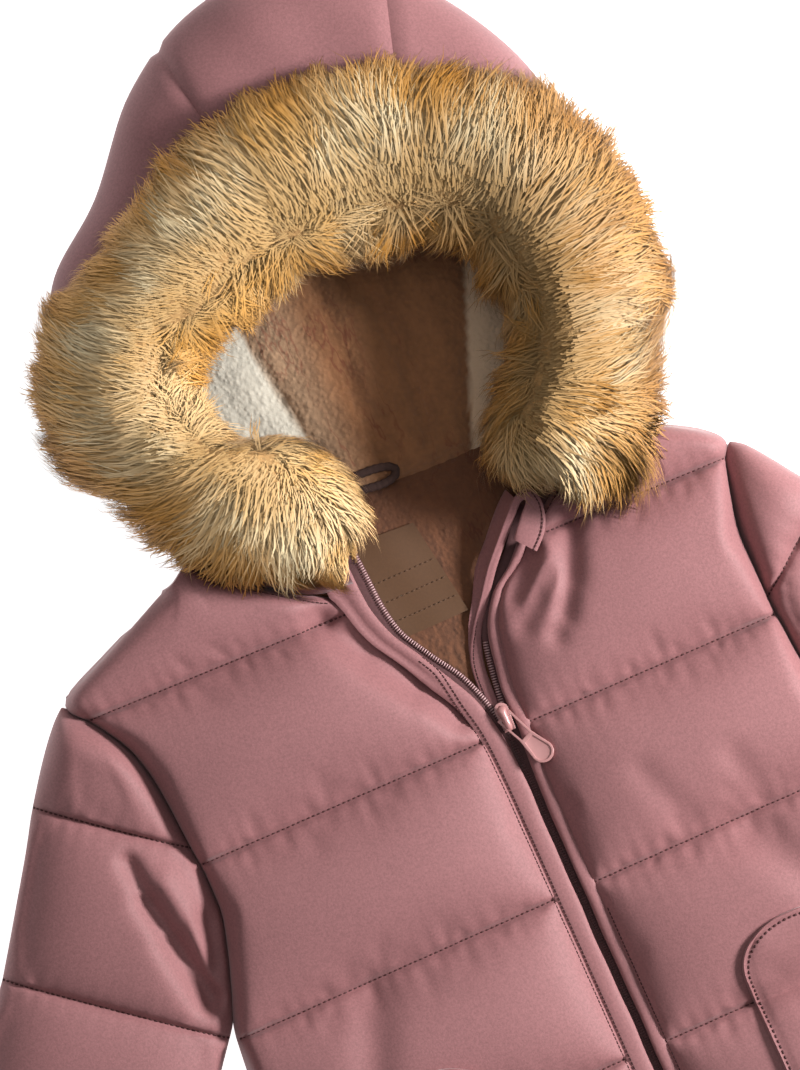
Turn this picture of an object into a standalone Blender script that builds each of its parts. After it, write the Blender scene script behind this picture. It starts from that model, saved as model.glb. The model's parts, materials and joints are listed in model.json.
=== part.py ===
"""Child's hooded puffer jacket with a fur-trimmed hood, lying flat on its back.

X runs across the jacket towards the wearer's left, Y from the hem to the hood and Z up
from the surface it lies on. Sizes and tables are in millimetres; the meshes are in metres.
A "row" is a line across the body: rows are named by their height Y at the wearer's right
side, and sag a little towards the left shoulder, as the jacket was laid down.
"""
from collections import namedtuple
import math

import bmesh
import bpy
from mathutils import Matrix, Vector
from mathutils.bvhtree import BVHTree

MM = 0.001
COLLECTION = "kids_puffer_jacket"

# The finished jacket's origin: on the surface, under the middle of the back's third channel
ORIGIN = Vector((0.0, 35.0, 0.0))

# Padding and seams
SEAM_GAP = 0.3
QUILT_PITCH = 70.0
BACK_THICKNESS = 8.0
FRONT_BASE = BACK_THICKNESS + SEAM_GAP
EDGE_THICKNESS = 4.0
QUILT_THICKNESS = 9.0
PUFF_THICKNESS = 18.0
PLACKET_THICKNESS = 8.2
SEAM_FALL = 18.0
PLACKET_FALL = 40.0
BACK_EDGE_LIFT = 4.0
BACK_EDGE_FALL = 14.0
QUILT_GROOVE = 2.5
HEM_ROW = -205.0
HEM_STITCH_ROW = -191.0
NECK_ROW = 176.0
CHANNEL_STEPS = (0.0, 0.1, 0.25, 0.5, 0.75, 0.9)
SHOULDER_DROP = 8.0
NECK_RISE = 6.0

# Thin cloth pieces at the front opening
TAPE_BASE = 12.2
TAPE_THICKNESS = 0.8
FLAP_BASE = 14.4
FLAP_THICKNESS = 2.2
LINING_THICKNESS = 1.5
LABEL_THICKNESS = 0.8
STRIP_GAP = 0.4

# Sleeves
SLEEVE_LENGTH = 290.0
SLEEVE_MIDDLE = 8.15
SLEEVE_QUILT_TOP = 11.0
SLEEVE_PUFF_TOP = 20.0
SLEEVE_LEAN = math.radians(38.5)
CUFF_SLIT = 1.0
ARMHOLE_ROWS = (147, 140, 133, 122.5, 105, 87.5, 77, 70, 63, 52.5, 35, 17.5, 7)

# Hood and fur
HOOD_THICKNESS = 6.0
LIMB_THICKNESS = 3.5
LINING_GAP = 0.9
FACING_THICKNESS = 2.0
FUR_HEIGHT = 34.0
FUR_LIFT = 1.4
LIMB_FUR_LIFT = 4.0
LIMB_FUR_BASE = 29.0

# Zip slider and pull, with the pull's hinge on its top bar
HINGE = Vector((7.7, 75.0, 18.2))
PULL_LENGTH = 26.0
PULL_TURN = math.radians(24.0)
PULL_RISE = math.radians(9.0)
SLIDER_WIDTH = 5.8
SLIDER_LENGTH = 12.0

BodyRow = namedtuple("BodyRow", "row right left")
BODY_OUTLINE = [BodyRow(*line) for line in (
    (-205, -158, 154), (-140, -155, 150), (-70, -148, 144), (0, -142.5, 139), (7, -141, 137.5),
    (17.5, -137, 132), (35, -131, 127), (52.5, -127, 124.6), (63, -127, 124), (77, -128, 123),
    (105, -130, 123), (122.5, -134, 126), (133, -140, 128.5), (140, -145, 130.5), (147, -151.5, 134),
    (150, -152, 132), (157, -138, 124.5), (166, -118, 108), (176, -97, 90))]

FrontRow = namedtuple("FrontRow", "row right left")
FRONT_INNER = [FrontRow(*line) for line in (
    (-205, -3, 13), (40, -3, 13.2), (60, -3.4, 14.3), (70, -4.2, 15.6), (84, -7, 15.5), (100, -15, 17.7),
    (111, -20.5, 20), (125, -28.5, 27.5), (133, -31.5, 38.5), (141, -33.5, 45.5), (147, -36, 53),
    (151, -44, 58), (160, -57.5, 70), (168, -69, 79), (176, -80, 88))]

StripRow = namedtuple("StripRow", "row edge")
FLAP_EDGE = [StripRow(*line) for line in (
    (-205, 5), (40, 5), (60, 4.8), (70, 3.8), (84, 1), (100, -6.5), (111, -12), (125, -20),
    (133, -22.6), (141, -24.4), (147, -25))]
NARROW_EDGE = [StripRow(*line) for line in (
    (-205, 8.3), (40, 8.6), (60, 9.8), (70, 11), (84, 11), (100, 13), (111, 15.6), (125, 23.8),
    (133, 34), (141, 41))]
COIL_RIGHT = [StripRow(*line) for line in (
    (-198, 6.6), (60, 6.6), (70, 6.3), (82, 4), (97, -1), (112, -10), (127, -17.5), (140, -19.6), (147, -20))]
COIL_LEFT = [StripRow(*line) for line in (
    (-198, 7.4), (60, 7.4), (70, 7.6), (82, 9), (97, 11), (109, 14))]
ZIP_FOOT = -198.0

SleeveRow = namedtuple("SleeveRow", "along top under")
SLEEVE_RIGHT = [SleeveRow(*line) for line in (
    (0, 0, 0), (9, -1.8, 0), (21, -2.4, 0), (41, -1.8, 0), (62, 0.8, 0), (89, 2.7, 0), (112, 3.8, 98.5),
    (182, 6, 97), (252, 7.5, 95), (290, 8, 94))]
SLEEVE_LEFT = [SleeveRow(*line) for line in (
    (0, 0, 0), (9, -2.6, 0), (23, -2.2, 0), (36, -1.4, 0), (60, -3, 0), (89, -6, 0), (112, -8, 81.5),
    (182, -8.5, 82), (252, -7, 81), (290, -6, 81))]

Fold = namedtuple("Fold", "x0 y0 x1 y1 width depth")
FOLDS = [Fold(*line) for line in (
    (62, 148, 47, 109, 7, 4.5), (42, 129, 27, 112, 6, 3.0), (-45, 140, -14, 88, 9, 3.5),
    (80, -8, 96, -36, 9, 3.0), (-86, -6, -98, -34, 9, 3.0),
    (-152, 88, -147, 30, 9, 6.0), (-141, 48, -135, 26, 6, 3.0), (146, 84, 143, 28, 9, 5.0))]

HoodStation = namedtuple("HoodStation", "inner_x inner_y outer_x outer_y rim edge_x edge_y rim_z edge_z")
RIGHT_LIMB = [HoodStation(*line) for line in (
    (-20, 162, -34, 151, 0.4, -26, 148.4, 24, 15.5), (-8, 174, -57, 167, 0.3, -44, 152, 27, 16),
    (-7, 184, -76, 178, 0.25, -78, 175.8, 31, 16))]
MAIN_RING = [HoodStation(*line) for line in (
    (-7, 190, -84, 184, 0.22, -93, 179, 32, 12), (-16, 208, -99, 210, 0.16, -94, 206, 35, 14),
    (-42, 218, -109, 235, 0.12, -99, 236, 37, 15), (-51, 238, -113, 262, 0.10, -102, 268, 38, 16),
    (-42, 254, -99, 297, 0.10, -88, 306, 39, 17), (-22, 261, -66, 314, 0.10, -58, 331, 40, 18),
    (-4, 268, -25, 331, 0.10, -28, 364, 40, 19), (14, 267, 12, 340, 0.10, 8, 384, 40, 20),
    (35, 264, 50, 337, 0.10, 50, 386, 40, 20), (54, 260, 88, 320, 0.10, 92, 360, 40, 19),
    (67, 253, 124, 293, 0.10, 120, 316, 39, 17), (69, 237, 140, 257, 0.10, 129, 268, 38, 16),
    (71, 219, 140, 222, 0.10, 128, 230, 37, 15), (62, 200, 130, 193, 0.14, 119, 198, 35, 14),
    (46, 188, 116, 166, 0.20, 89, 172, 32, 12))]
LEFT_LIMB = [HoodStation(*line) for line in (
    (45, 183, 106, 157, 0.30, 80, 165.5, 31, 16), (43, 176, 96, 148, 0.35, 74, 160, 29, 16),
    (48, 162, 70, 151, 0.5, 63, 153, 26, 15.5))]
LIMB_STEPS = 4
RING_STEPS = 3
CENTRE_PANEL = (5, 9)

GuardStation = namedtuple("GuardStation", "left_x left_y left_z right_x right_y right_z")
WIND_GUARD = [GuardStation(*line) for line in (
    (2.5, 66, 10.2, 8, 66, 10.2), (2.5, 84, 10.2, 8, 82, 10.2), (4, 100, 10.3, 9, 97.5, 10.2),
    (10, 112, 11, 13.5, 110, 10.6), (17.8, 122, 13.5, 21.2, 120.5, 12.5),
    (25.7, 132.4, 17, 28.9, 130.6, 16), (33.4, 140.6, 20, 36.6, 139, 19.2),
    (40.5, 148, 22.5, 43.2, 145.8, 22), (46.8, 153.8, 24.4, 48, 150.6, 24),
    (52.5, 155.4, 25, 50.2, 151.2, 25), (55.3, 153, 24.6, 50, 149.8, 25), (56.3, 147.5, 24, 46.8, 146.5, 24.8),
    (54.9, 141, 23.4, 43.4, 142.8, 24.2), (51.7, 135.5, 22.8, 41, 140, 23.6),
    (46.4, 130.4, 22.2, 39.8, 138.4, 23))]
GUARD_THICKNESS = 1.4

POCKET_CENTRE = 79.0
POCKET_HALF_WIDTH = 26.5
POCKET_SHOULDER = -61.0
POCKET_ARCH = 20.0
POCKET_FOOT = -122.5
POCKET_THICKNESS = 1.8
POCKET_LIFT = 1.0
BODY_CENTRE = -2.0

LOOP_PATH = ((-22, 188), (-12, 187.6), (0, 187.2), (7, 186), (9.4, 183), (7, 180.2), (1, 179.4), (-8, 181))
LOOP_RADIUS = 1.2

CLOTH = ("satin_mauve", (0.47, 0.22, 0.225), 0.5, 0.0)
PILE = ("lining_pile", (0.36, 0.24, 0.17), 0.95, 0.0)
FUR = ("fur_tan", (0.50, 0.30, 0.13), 0.9, 0.0)
TAPE = ("zip_tape", (0.20, 0.09, 0.10), 0.8, 0.0)
PAINT = ("zip_paint", (0.46, 0.20, 0.20), 0.35, 0.3)
LABEL = ("label_satin", (0.38, 0.25, 0.14), 0.6, 0.0)
RIBBON = ("loop_brown", (0.06, 0.03, 0.02), 0.9, 0.0)


def clear_scene():
    for item in list(bpy.data.objects):
        bpy.data.objects.remove(item, do_unlink=True)


def material(finish):
    name, colour, roughness, metallic = finish
    found = bpy.data.materials.get(name)
    if found:
        return found
    made = bpy.data.materials.new(name)
    made.use_nodes = True
    shader = made.node_tree.nodes["Principled BSDF"]
    shader.inputs["Base Color"].default_value = (*colour, 1.0)
    shader.inputs["Roughness"].default_value = roughness
    shader.inputs["Metallic"].default_value = metallic
    return made


def add_object(name, mesh, finish):
    """Put a mesh in the jacket's collection as a smooth-shaded, named object."""
    mesh.shade_smooth()
    mesh.set_sharp_from_angle(angle=math.radians(50))
    mesh.materials.clear()
    mesh.materials.append(material(finish))
    made = bpy.data.objects.new(name, mesh)
    bpy.data.collections[COLLECTION].objects.link(made)
    return made


def closed_object(name, points, faces, finish):
    """One closed body from points in millimetres, with its faces pointing outwards."""
    mesh = bpy.data.meshes.new(name)
    work = bmesh.new()
    corners = [work.verts.new(Vector(point) * MM) for point in points]
    for face in faces:
        work.faces.new([corners[index] for index in face])
    bmesh.ops.recalc_face_normals(work, faces=work.faces)
    work.to_mesh(mesh)
    work.free()
    return add_object(name, mesh, finish)


def smooth_value(table, column, key):
    """Read one column of a table between its rows, on a curve that never overshoots them."""
    rows = [(line[0], getattr(line, column)) for line in table]
    if key <= rows[0][0]:
        return rows[0][1]
    if key >= rows[-1][0]:
        return rows[-1][1]
    slopes = [(b[1] - a[1]) / (b[0] - a[0]) for a, b in zip(rows, rows[1:])]
    place = max(index for index in range(len(slopes)) if rows[index][0] <= key)

    def tangent(index):
        if index == 0 or index == len(slopes):
            return slopes[min(index, len(slopes) - 1)]
        before, after = slopes[index - 1], slopes[index]
        return 0.0 if before * after <= 0 else 2 * before * after / (before + after)

    (x0, y0), (x1, y1) = rows[place], rows[place + 1]
    span = x1 - x0
    t = (key - x0) / span
    return ((1 + 2 * t) * (1 - t) ** 2 * y0 + t * (1 - t) ** 2 * span * tangent(place)
            + t * t * (3 - 2 * t) * y1 + t * t * (t - 1) * span * tangent(place + 1))


def smooth_stations(stations, steps):
    """Catmull-Rom curve through every column of a list of stations, with steps in each span."""
    ends = [stations[0]] + list(stations) + [stations[-1]]
    made = []
    for span in range(len(stations) - 1):
        before, start, end, after = ends[span:span + 4]
        for step in range(steps):
            t = step / steps
            made.append(type(start)(*(
                0.5 * (2 * b + (c - a) * t + (2 * a - 5 * b + 4 * c - d) * t * t
                       + (3 * b - a - 3 * c + d) * t ** 3)
                for a, b, c, d in zip(before, start, end, after))))
    made.append(stations[-1])
    return made


def loft_faces(rows, columns, closed=False):
    """Faces between neighbouring rows of a grid whose points are numbered row by row."""
    last = columns if closed else columns - 1
    return [(row * columns + column, row * columns + (column + 1) % columns,
             (row + 1) * columns + (column + 1) % columns, (row + 1) * columns + column)
            for row in range(rows - 1) for column in range(last)]


def walled_object(name, outside, inside, finish, floor=None):
    """A wall between two grids of points.

    A floor names the first and last grid rows that run on, past the wall's last column, into
    one flat floor, with the outside and inside points of the floor's own far edge.
    """
    rows, columns = len(outside), len(outside[0])
    points = [point for grid in (outside, inside) for row in grid for point in row]
    half = rows * columns
    faces = loft_faces(rows, columns)
    faces += [tuple(half + index for index in reversed(face)) for face in loft_faces(rows, columns)]
    foot = [row * columns + columns - 1 for row in range(rows)]
    borders = [[row * columns for row in range(rows)], list(range(columns)),
               [(rows - 1) * columns + column for column in range(columns)]]
    if floor:
        low, high, far_outside, far_inside = floor
        far = [len(points) + index for index in range(len(far_outside))]
        points += far_outside + far_inside
        borders += [foot[:low + 1], foot[high:]]
        floor_rows = foot[low:high + 1]
        outer_run = floor_rows + far
        inner_run = [half + index for index in floor_rows] + [index + len(far) for index in far]
        faces += [tuple(outer_run), tuple(reversed(inner_run))]
        outer_edge = [floor_rows[-1]] + far + [floor_rows[0]]
        inner_edge = [half + floor_rows[-1]] + [index + len(far) for index in far] + [half + floor_rows[0]]
        faces += [(a, b, d, c) for a, b, c, d in zip(outer_edge, outer_edge[1:], inner_edge, inner_edge[1:])]
    else:
        borders.append(foot)
    for border in borders:
        faces += [(a, b, half + b, half + a) for a, b in zip(border, border[1:])]
    return closed_object(name, points, faces, finish)


def row_height(x, row):
    """Y of a point at x on a body row."""
    share = max(row, 0.0) / NECK_ROW
    rise = max(row - 140.0, 0.0) / (NECK_ROW - 140.0)
    sag = SHOULDER_DROP * share ** 2 * (x + 95.0) / 187.0
    return row - sag + NECK_RISE * rise * max(0.0, 1.0 - (x / 80.0) ** 2)


def body_rows(low=HEM_ROW, high=NECK_ROW):
    """Rows of the body grids: the hem, the quilting lines and steps in every channel."""
    rows = {HEM_ROW, HEM_ROW + 5, HEM_STITCH_ROW, 145, 150, 157, 166, NECK_ROW}
    for channel in range(-3, 2):
        line = channel * QUILT_PITCH
        rows |= {line + step * QUILT_PITCH for step in CHANNEL_STEPS}
    rows = {row for row in rows if row > HEM_STITCH_ROW + 3 or row in (HEM_ROW, HEM_ROW + 5, HEM_STITCH_ROW)}
    rows.add(2 * QUILT_PITCH)
    rows.add(147)
    rows.discard(145)
    return sorted(row for row in rows if low <= row <= high)


def puff(row):
    """How full a channel is at a row: 0 on a quilting line, 1 in the middle of a channel."""
    if row < HEM_STITCH_ROW:
        share = (row - HEM_ROW) / (HEM_STITCH_ROW - HEM_ROW)
        return 0.35 * math.sqrt(max(0.0, 4 * share * (1 - share)))
    low, high = math.floor(row / QUILT_PITCH) * QUILT_PITCH, QUILT_PITCH
    if low < HEM_STITCH_ROW:
        low, high = HEM_STITCH_ROW, -2 * QUILT_PITCH - HEM_STITCH_ROW
    share = (row - low) / high
    return math.sqrt(max(0.0, 4 * share * (1 - share)))


def fall(distance, reach):
    """Quarter-round rise from 0 at a seam to 1 at a distance of reach."""
    share = min(max(distance / reach, 0.0), 1.0)
    return math.sqrt(1 - (1 - share) ** 2)


def segment_distance(x, y, x0, y0, x1, y1):
    along = ((x - x0) * (x1 - x0) + (y - y0) * (y1 - y0)) / ((x1 - x0) ** 2 + (y1 - y0) ** 2 + 1e-9)
    along = min(max(along, 0.0), 1.0)
    return math.hypot(x - x0 - along * (x1 - x0), y - y0 - along * (y1 - y0))


def line_distance(x, y, line):
    return min(segment_distance(x, y, *a, *b) for a, b in zip(line, line[1:]))


def fold_depth(x, y):
    """How far the large creases sink the outer cloth at a point."""
    return sum(fold.depth * math.exp(-(segment_distance(x, y, *fold[:4]) / fold.width) ** 2)
               for fold in FOLDS)


def side_line(side):
    """Side seam, armhole and shoulder of one side of the body, as points from hem to neck."""
    return [(x, row_height(x, row)) for row in body_rows()
            for x in (smooth_value(BODY_OUTLINE, side, row),)]


def neck_line(side):
    rows = [row for row in body_rows() if row >= 147]
    return [(x, row_height(x, row)) for row in rows for x in (smooth_value(FRONT_INNER, side, row),)]


def front_top(side, x, row):
    """Height of a front's outer cloth."""
    y = row_height(x, row)
    to_seam = min(line_distance(x, y, side_line(side)), line_distance(x, y, neck_line(side)))
    if row <= HEM_STITCH_ROW:
        full = EDGE_THICKNESS + 2.0 + 4.0 * puff(row)
    else:
        full = QUILT_THICKNESS + (PUFF_THICKNESS - QUILT_THICKNESS) * puff(row)
    to_placket = abs(x - smooth_value(FRONT_INNER, side, row))
    near_placket = PLACKET_THICKNESS + (full - PLACKET_THICKNESS) * fall(to_placket, PLACKET_FALL)
    if row > 147:
        near_placket = full
    thick = EDGE_THICKNESS + (near_placket - EDGE_THICKNESS) * fall(to_seam, SEAM_FALL)
    sunk = fold_depth(x, y) * fall(to_seam, SEAM_FALL)
    return FRONT_BASE + max(thick - sunk, EDGE_THICKNESS)


FRONT_COLUMNS = (0.0, 0.05, 0.14, 0.28, 0.44, 0.6, 0.74, 0.86, 0.94, 1.0)


def build_front(name, side):
    """Quilted front: plain inside on the back panel, raised channels outside."""
    outside, inside = [], []
    for row in body_rows():
        inner = smooth_value(FRONT_INNER, side, row)
        outer = smooth_value(BODY_OUTLINE, side, row)
        xs = [inner + share * (outer - inner) for share in FRONT_COLUMNS]
        outside.append([(x, row_height(x, row), front_top(side, x, row)) for x in xs])
        inside.append([(x, row_height(x, row), FRONT_BASE) for x in xs])
    return walled_object(name, outside, inside, CLOTH)


def build_back():
    """Quilted back: flat where it rests, with shallow grooves at the quilting lines."""
    shares = [0.5 - 0.5 * math.cos(math.pi * step / 13) for step in range(14)]
    seams = side_line("right"), side_line("left")
    outside, inside = [], []
    for row in body_rows():
        right = smooth_value(BODY_OUTLINE, "right", row)
        left = smooth_value(BODY_OUTLINE, "left", row)
        low, high = [], []
        for share in shares:
            x = right + share * (left - right)
            y = row_height(x, row)
            to_seam = min(line_distance(x, y, line) for line in seams)
            groove = QUILT_GROOVE * max(0.0, 1 - puff(row) / 0.8) if HEM_STITCH_ROW <= row < 150 else 0.0
            lift = BACK_EDGE_LIFT * (1 - fall(to_seam, BACK_EDGE_FALL))
            low.append((x, y, max(groove, lift)))
            high.append((x, y, BACK_THICKNESS))
        outside.append(low)
        inside.append(high)
    return walled_object("back_panel", outside, inside, CLOTH)


def strip(name, side, table, low, high, base, thickness, finish):
    """A strip of cloth along the front opening, from a front panel's edge to its own free edge."""
    towards = 1.0 if side == "right" else -1.0
    rows = [low] + [row for row in body_rows() if low + 2 < row < high - 2] + [high]
    outside, inside = [], []
    for row in rows:
        near = smooth_value(FRONT_INNER, side, row) + towards * STRIP_GAP
        far = smooth_value(table, "edge", row)
        outside.append([(x, row_height(x, row), base + thickness) for x in (near, far)])
        inside.append([(x, row_height(x, row), base) for x in (near, far)])
    return walled_object(name, outside, inside, finish)


def build_neck_lining():
    rows = [64] + [row for row in body_rows() if row > 66]
    outside, inside = [], []
    for row in rows:
        right = max(smooth_value(FRONT_INNER, "right", row) + STRIP_GAP, -60.0)
        left = min(smooth_value(FRONT_INNER, "left", row) - STRIP_GAP, 66.0)
        xs = [right + share * (left - right) for share in (0.0, 0.25, 0.5, 0.75, 1.0)]
        outside.append([(x, row_height(x, row), FRONT_BASE + LINING_THICKNESS) for x in xs])
        inside.append([(x, row_height(x, row), FRONT_BASE) for x in xs])
    return walled_object("neck_lining", outside, inside, PILE)


def build_label():
    base = FRONT_BASE + LINING_THICKNESS + SEAM_GAP
    corners = (((-22, 120), (12, 120)), ((-22, 141), (9, 141)), ((-22, 163), (6, 161)))
    outside = [[(x, y, base + LABEL_THICKNESS) for x, y in line] for line in corners]
    inside = [[(x, y, base) for x, y in line] for line in corners]
    return walled_object("label", outside, inside, LABEL)


def build_wind_guard():
    """Ribbon behind the zip that climbs the open side and folds over its top, as a chin guard."""
    outside, inside = [], []
    for at in smooth_stations(WIND_GUARD, 2):
        left = Vector((at.left_x, at.left_y, at.left_z))
        right = Vector((at.right_x, at.right_y, at.right_z))
        middle = (left + right) / 2 + Vector((0, 0, 0.2))
        line = (left, middle, right)
        outside.append([point + Vector((0, 0, GUARD_THICKNESS)) for point in line])
        inside.append(list(line))
    return walled_object("wind_guard", outside, inside, CLOTH)


def sleeve_frame(side):
    """Shoulder tip, direction down the sleeve and direction across it towards the body."""
    towards = -1.0 if side == "right" else 1.0
    tip_row = 150 if side == "right" else 147
    tip_x = smooth_value(BODY_OUTLINE, side, tip_row)
    tip = Vector((tip_x, row_height(tip_x, tip_row)))
    along = Vector((towards * math.sin(SLEEVE_LEAN), -math.cos(SLEEVE_LEAN)))
    across = Vector((-towards * math.cos(SLEEVE_LEAN), -math.sin(SLEEVE_LEAN)))
    return tip, along, across


def sleeve_rows(side):
    """Rows of a sleeve: distance along it, its two edges across it, and its first quilting line."""
    table = SLEEVE_RIGHT if side == "right" else SLEEVE_LEFT
    tip, along, across = sleeve_frame(side)
    rows = []
    first_line = 0.0
    for row in ARMHOLE_ROWS:
        x = smooth_value(BODY_OUTLINE, side, row)
        offset = Vector((x, row_height(x, row))) - tip
        distance, under = offset.dot(along), offset.dot(across)
        if row == 77:
            first_line = distance
        rows.append((distance, smooth_value(table, "top", distance), under - 0.45))
    rows = [line for line in rows if line[0] > 1.5]
    underarm = rows[-1][0]
    for channel in range(4):
        for step in CHANNEL_STEPS:
            distance = first_line + (channel + step) * QUILT_PITCH
            if underarm + 4 < distance < SLEEVE_LENGTH - 3:
                rows.append((distance, smooth_value(table, "top", distance),
                             smooth_value(table, "under", distance)))
    rows.append((SLEEVE_LENGTH, table[-1].top, table[-1].under))
    return rows, first_line


def sleeve_puff(distance, first_line):
    if distance > SLEEVE_LENGTH - 14:
        return 0.25
    share = ((distance - first_line) / QUILT_PITCH) % 1.0
    return math.sqrt(max(0.0, 4 * share * (1 - share)))


def build_sleeve(name, side):
    """Flattened padded tube: a round fold along each edge, flat beneath, a slit open at the cuff."""
    tip, along, across = sleeve_frame(side)
    rows, first_line = sleeve_rows(side)
    shares = (0.0, 0.05, 0.16, 0.32, 0.5, 0.68, 0.84, 0.95, 1.0)
    around = [(share, 1) for share in shares] + [(share, -1) for share in reversed(shares[1:-1])]
    seam = side_line(side)

    def place(distance, over, z):
        spot = tip + along * distance + across * over
        return (spot.x, spot.y, z)

    points = []
    for distance, top, under in rows:
        full = SLEEVE_QUILT_TOP + (SLEEVE_PUFF_TOP - SLEEVE_QUILT_TOP) * sleeve_puff(distance, first_line)
        for share, upper in around:
            over = top + share * (under - top)
            spot = tip + along * distance + across * over
            bulge = math.sqrt(max(0.0, 1 - abs(2 * share - 1) ** 2.4))
            if upper > 0:
                thin = min(1.0, 0.35 + 0.65 * fall(line_distance(*spot, seam), SEAM_FALL))
                lift = full * bulge * thin * min(1.0, (under - top) / 40.0)
                lift = max(lift - fold_depth(*spot) * bulge, 0.0)
            else:
                lift = -min(SLEEVE_MIDDLE, SLEEVE_MIDDLE * 1.5 * bulge)
            points.append(place(distance, over, SLEEVE_MIDDLE + lift))
    count = len(around)
    faces = loft_faces(len(rows), count, closed=True)
    faces.append(tuple(reversed(range(count))))

    slit_rows = [line for line in rows if line[0] > 150][::3]
    if slit_rows[-1][0] != SLEEVE_LENGTH:
        slit_rows.append(rows[-1])
    first = len(points)
    for distance, top, under in slit_rows:
        for share, upper in around:
            over = top + (0.12 + 0.76 * share) * (under - top)
            bulge = math.sqrt(max(0.0, 1 - abs(2 * share - 1) ** 4))
            points.append(place(distance, over, SLEEVE_MIDDLE + upper * bulge * CUFF_SLIT / 2))
    faces += [tuple(first + index for index in reversed(face))
              for face in loft_faces(len(slit_rows), count, closed=True)]
    faces.append(tuple(first + index for index in range(count)))
    cuff, slit = (len(rows) - 1) * count, first + (len(slit_rows) - 1) * count
    faces += [(cuff + i, cuff + (i + 1) % count, slit + (i + 1) % count, slit + i) for i in range(count)]
    return closed_object(name, points, faces, CLOTH)


def hood_section(at, limb):
    """Outer points of the hood at one station, from the front edge out to the fold and under."""
    rim = Vector((at.inner_x, at.inner_y)).lerp(Vector((at.outer_x, at.outer_y)), at.rim)
    edge = Vector((at.edge_x, at.edge_y))
    reach = (edge - rim).length
    out = (edge - rim) / reach
    crest = at.rim_z + (2.0 if limb else 5.0)
    rise = crest - at.edge_z
    profile = [(0.0, at.rim_z), (0.18, crest - 1.0), (0.4, crest), (0.65, crest - 0.2 * rise),
               (0.87, at.edge_z + 0.5 * rise), (1.0, at.edge_z)]
    if limb:
        profile += [(1.0, at.edge_z - 1.5), (1.0, at.edge_z - 3.0)]
    else:
        tuck = min(1.5 * at.edge_z - 8.0, 0.4 * reach)
        profile += [(1.0 - 0.25 * tuck / reach, 4.0), (1.0 - tuck / reach, 0.0)]
    return rim, out, [(share * reach, z) for share, z in profile]


def offset_section(profile, distance, limb):
    """The same section moved into the hood by a distance, square to its own line."""
    if limb:
        distance = min(LIMB_THICKNESS, 0.16 * profile[5][0])
    moved = []
    for index, (r, z) in enumerate(profile):
        before = profile[max(index - 1, 0)]
        after = profile[min(index + 1, len(profile) - 1)]
        dr, dz = after[0] - before[0], after[1] - before[1]
        length = math.hypot(dr, dz)
        moved.append([r + distance * dz / length, z - distance * dr / length])
    if limb:
        moved[5:] = [[r - distance, z] for r, z in profile[5:]]
    else:
        moved[-1] = [profile[-1][0] - 0.4 * distance, distance]
    return moved


def ring_stations():
    """Every station of the hood's front edge, from the wearer's right end to the left end."""
    right = [(at, True) for at in smooth_stations(RIGHT_LIMB, LIMB_STEPS)]
    main = [(at, False) for at in smooth_stations(MAIN_RING, RING_STEPS)]
    left = [(at, True) for at in smooth_stations(LEFT_LIMB, LIMB_STEPS)]
    return right + main + left


def hood_layer(stations, distance):
    """Points of the hood's outer face at every station, or of a face that far inside it."""
    grid = []
    for at, limb in stations:
        rim, out, profile = hood_section(at, limb)
        section = offset_section(profile, distance, limb) if distance else profile
        grid.append([(rim.x + out.x * r, rim.y + out.y * r, z) for r, z in section])
    return grid


def neck_corner(x, z):
    """A point of the hood's floor just above the back neck seam."""
    return (x, row_height(x, NECK_ROW) + 2 * SEAM_GAP, z)


def build_hood():
    """Three shell panels, each from the front edge round the fold and along under the hood."""
    stations = ring_stations()
    first_main = sum(1 for at, limb in stations if limb) - LIMB_STEPS * (len(LEFT_LIMB) - 1) - 1
    seam_right = first_main + CENTRE_PANEL[0] * RING_STEPS
    seam_left = first_main + CENTRE_PANEL[1] * RING_STEPS
    panels = (("hood_side_right", 0, seam_right, (-22.0, -36.0, -50.0, -64.0, -80.0)),
              ("hood_centre", seam_right, seam_left, (58.0, 44.0, 30.0, 16.0, 2.0, -10.0, -21.4)),
              ("hood_side_left", seam_left, len(stations) - 1, (76.0, 67.0, 58.6)))
    for name, low, high, necks in panels:
        chosen = stations[low:high + 1]
        outside = hood_layer(chosen, 0.0)
        inside = hood_layer(chosen, HOOD_THICKNESS)
        outside, inside = trim_seams(outside, inside, name)
        floor = hood_floor(chosen, inside, necks)
        walled_object(name, outside, inside, CLOTH, floor)


def trim_seams(outside, inside, name):
    """Draw a panel's seam edges in by a little, so that neighbours lie a gap apart."""
    def drawn(row, towards):
        return [tuple(Vector(a) + (Vector(b) - Vector(a)).normalized() * SEAM_GAP) for a, b in zip(row, towards)]

    for grid in (outside, inside):
        if name != "hood_side_right":
            grid[0] = drawn(grid[0], grid[1])
        if name != "hood_side_left":
            grid[-1] = drawn(grid[-1], grid[-2])
    return outside, inside


def hood_floor(stations, inside, necks, base=0.0):
    """The flat floor of a panel: the rows that it starts and ends on, and its edge at the neck."""
    rows = [index for index, (at, limb) in enumerate(stations) if not limb]
    top = inside[rows[0]][-1][2]
    return rows[0], rows[-1], [neck_corner(x, base) for x in necks], [neck_corner(x, top) for x in necks]


def build_hood_lining():
    stations = [(at, False) for at in smooth_stations(MAIN_RING, RING_STEPS)[1:-2]]
    near = HOOD_THICKNESS + LINING_GAP
    outside = hood_layer(stations, near)
    inside = hood_layer(stations, near + LINING_THICKNESS)
    floor = hood_floor(stations, inside, (68.0, 50.0, 25.0, 0.0, -25.0, -50.0, -72.0), near)
    walled_object("hood_lining", outside, inside, PILE, floor)


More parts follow.
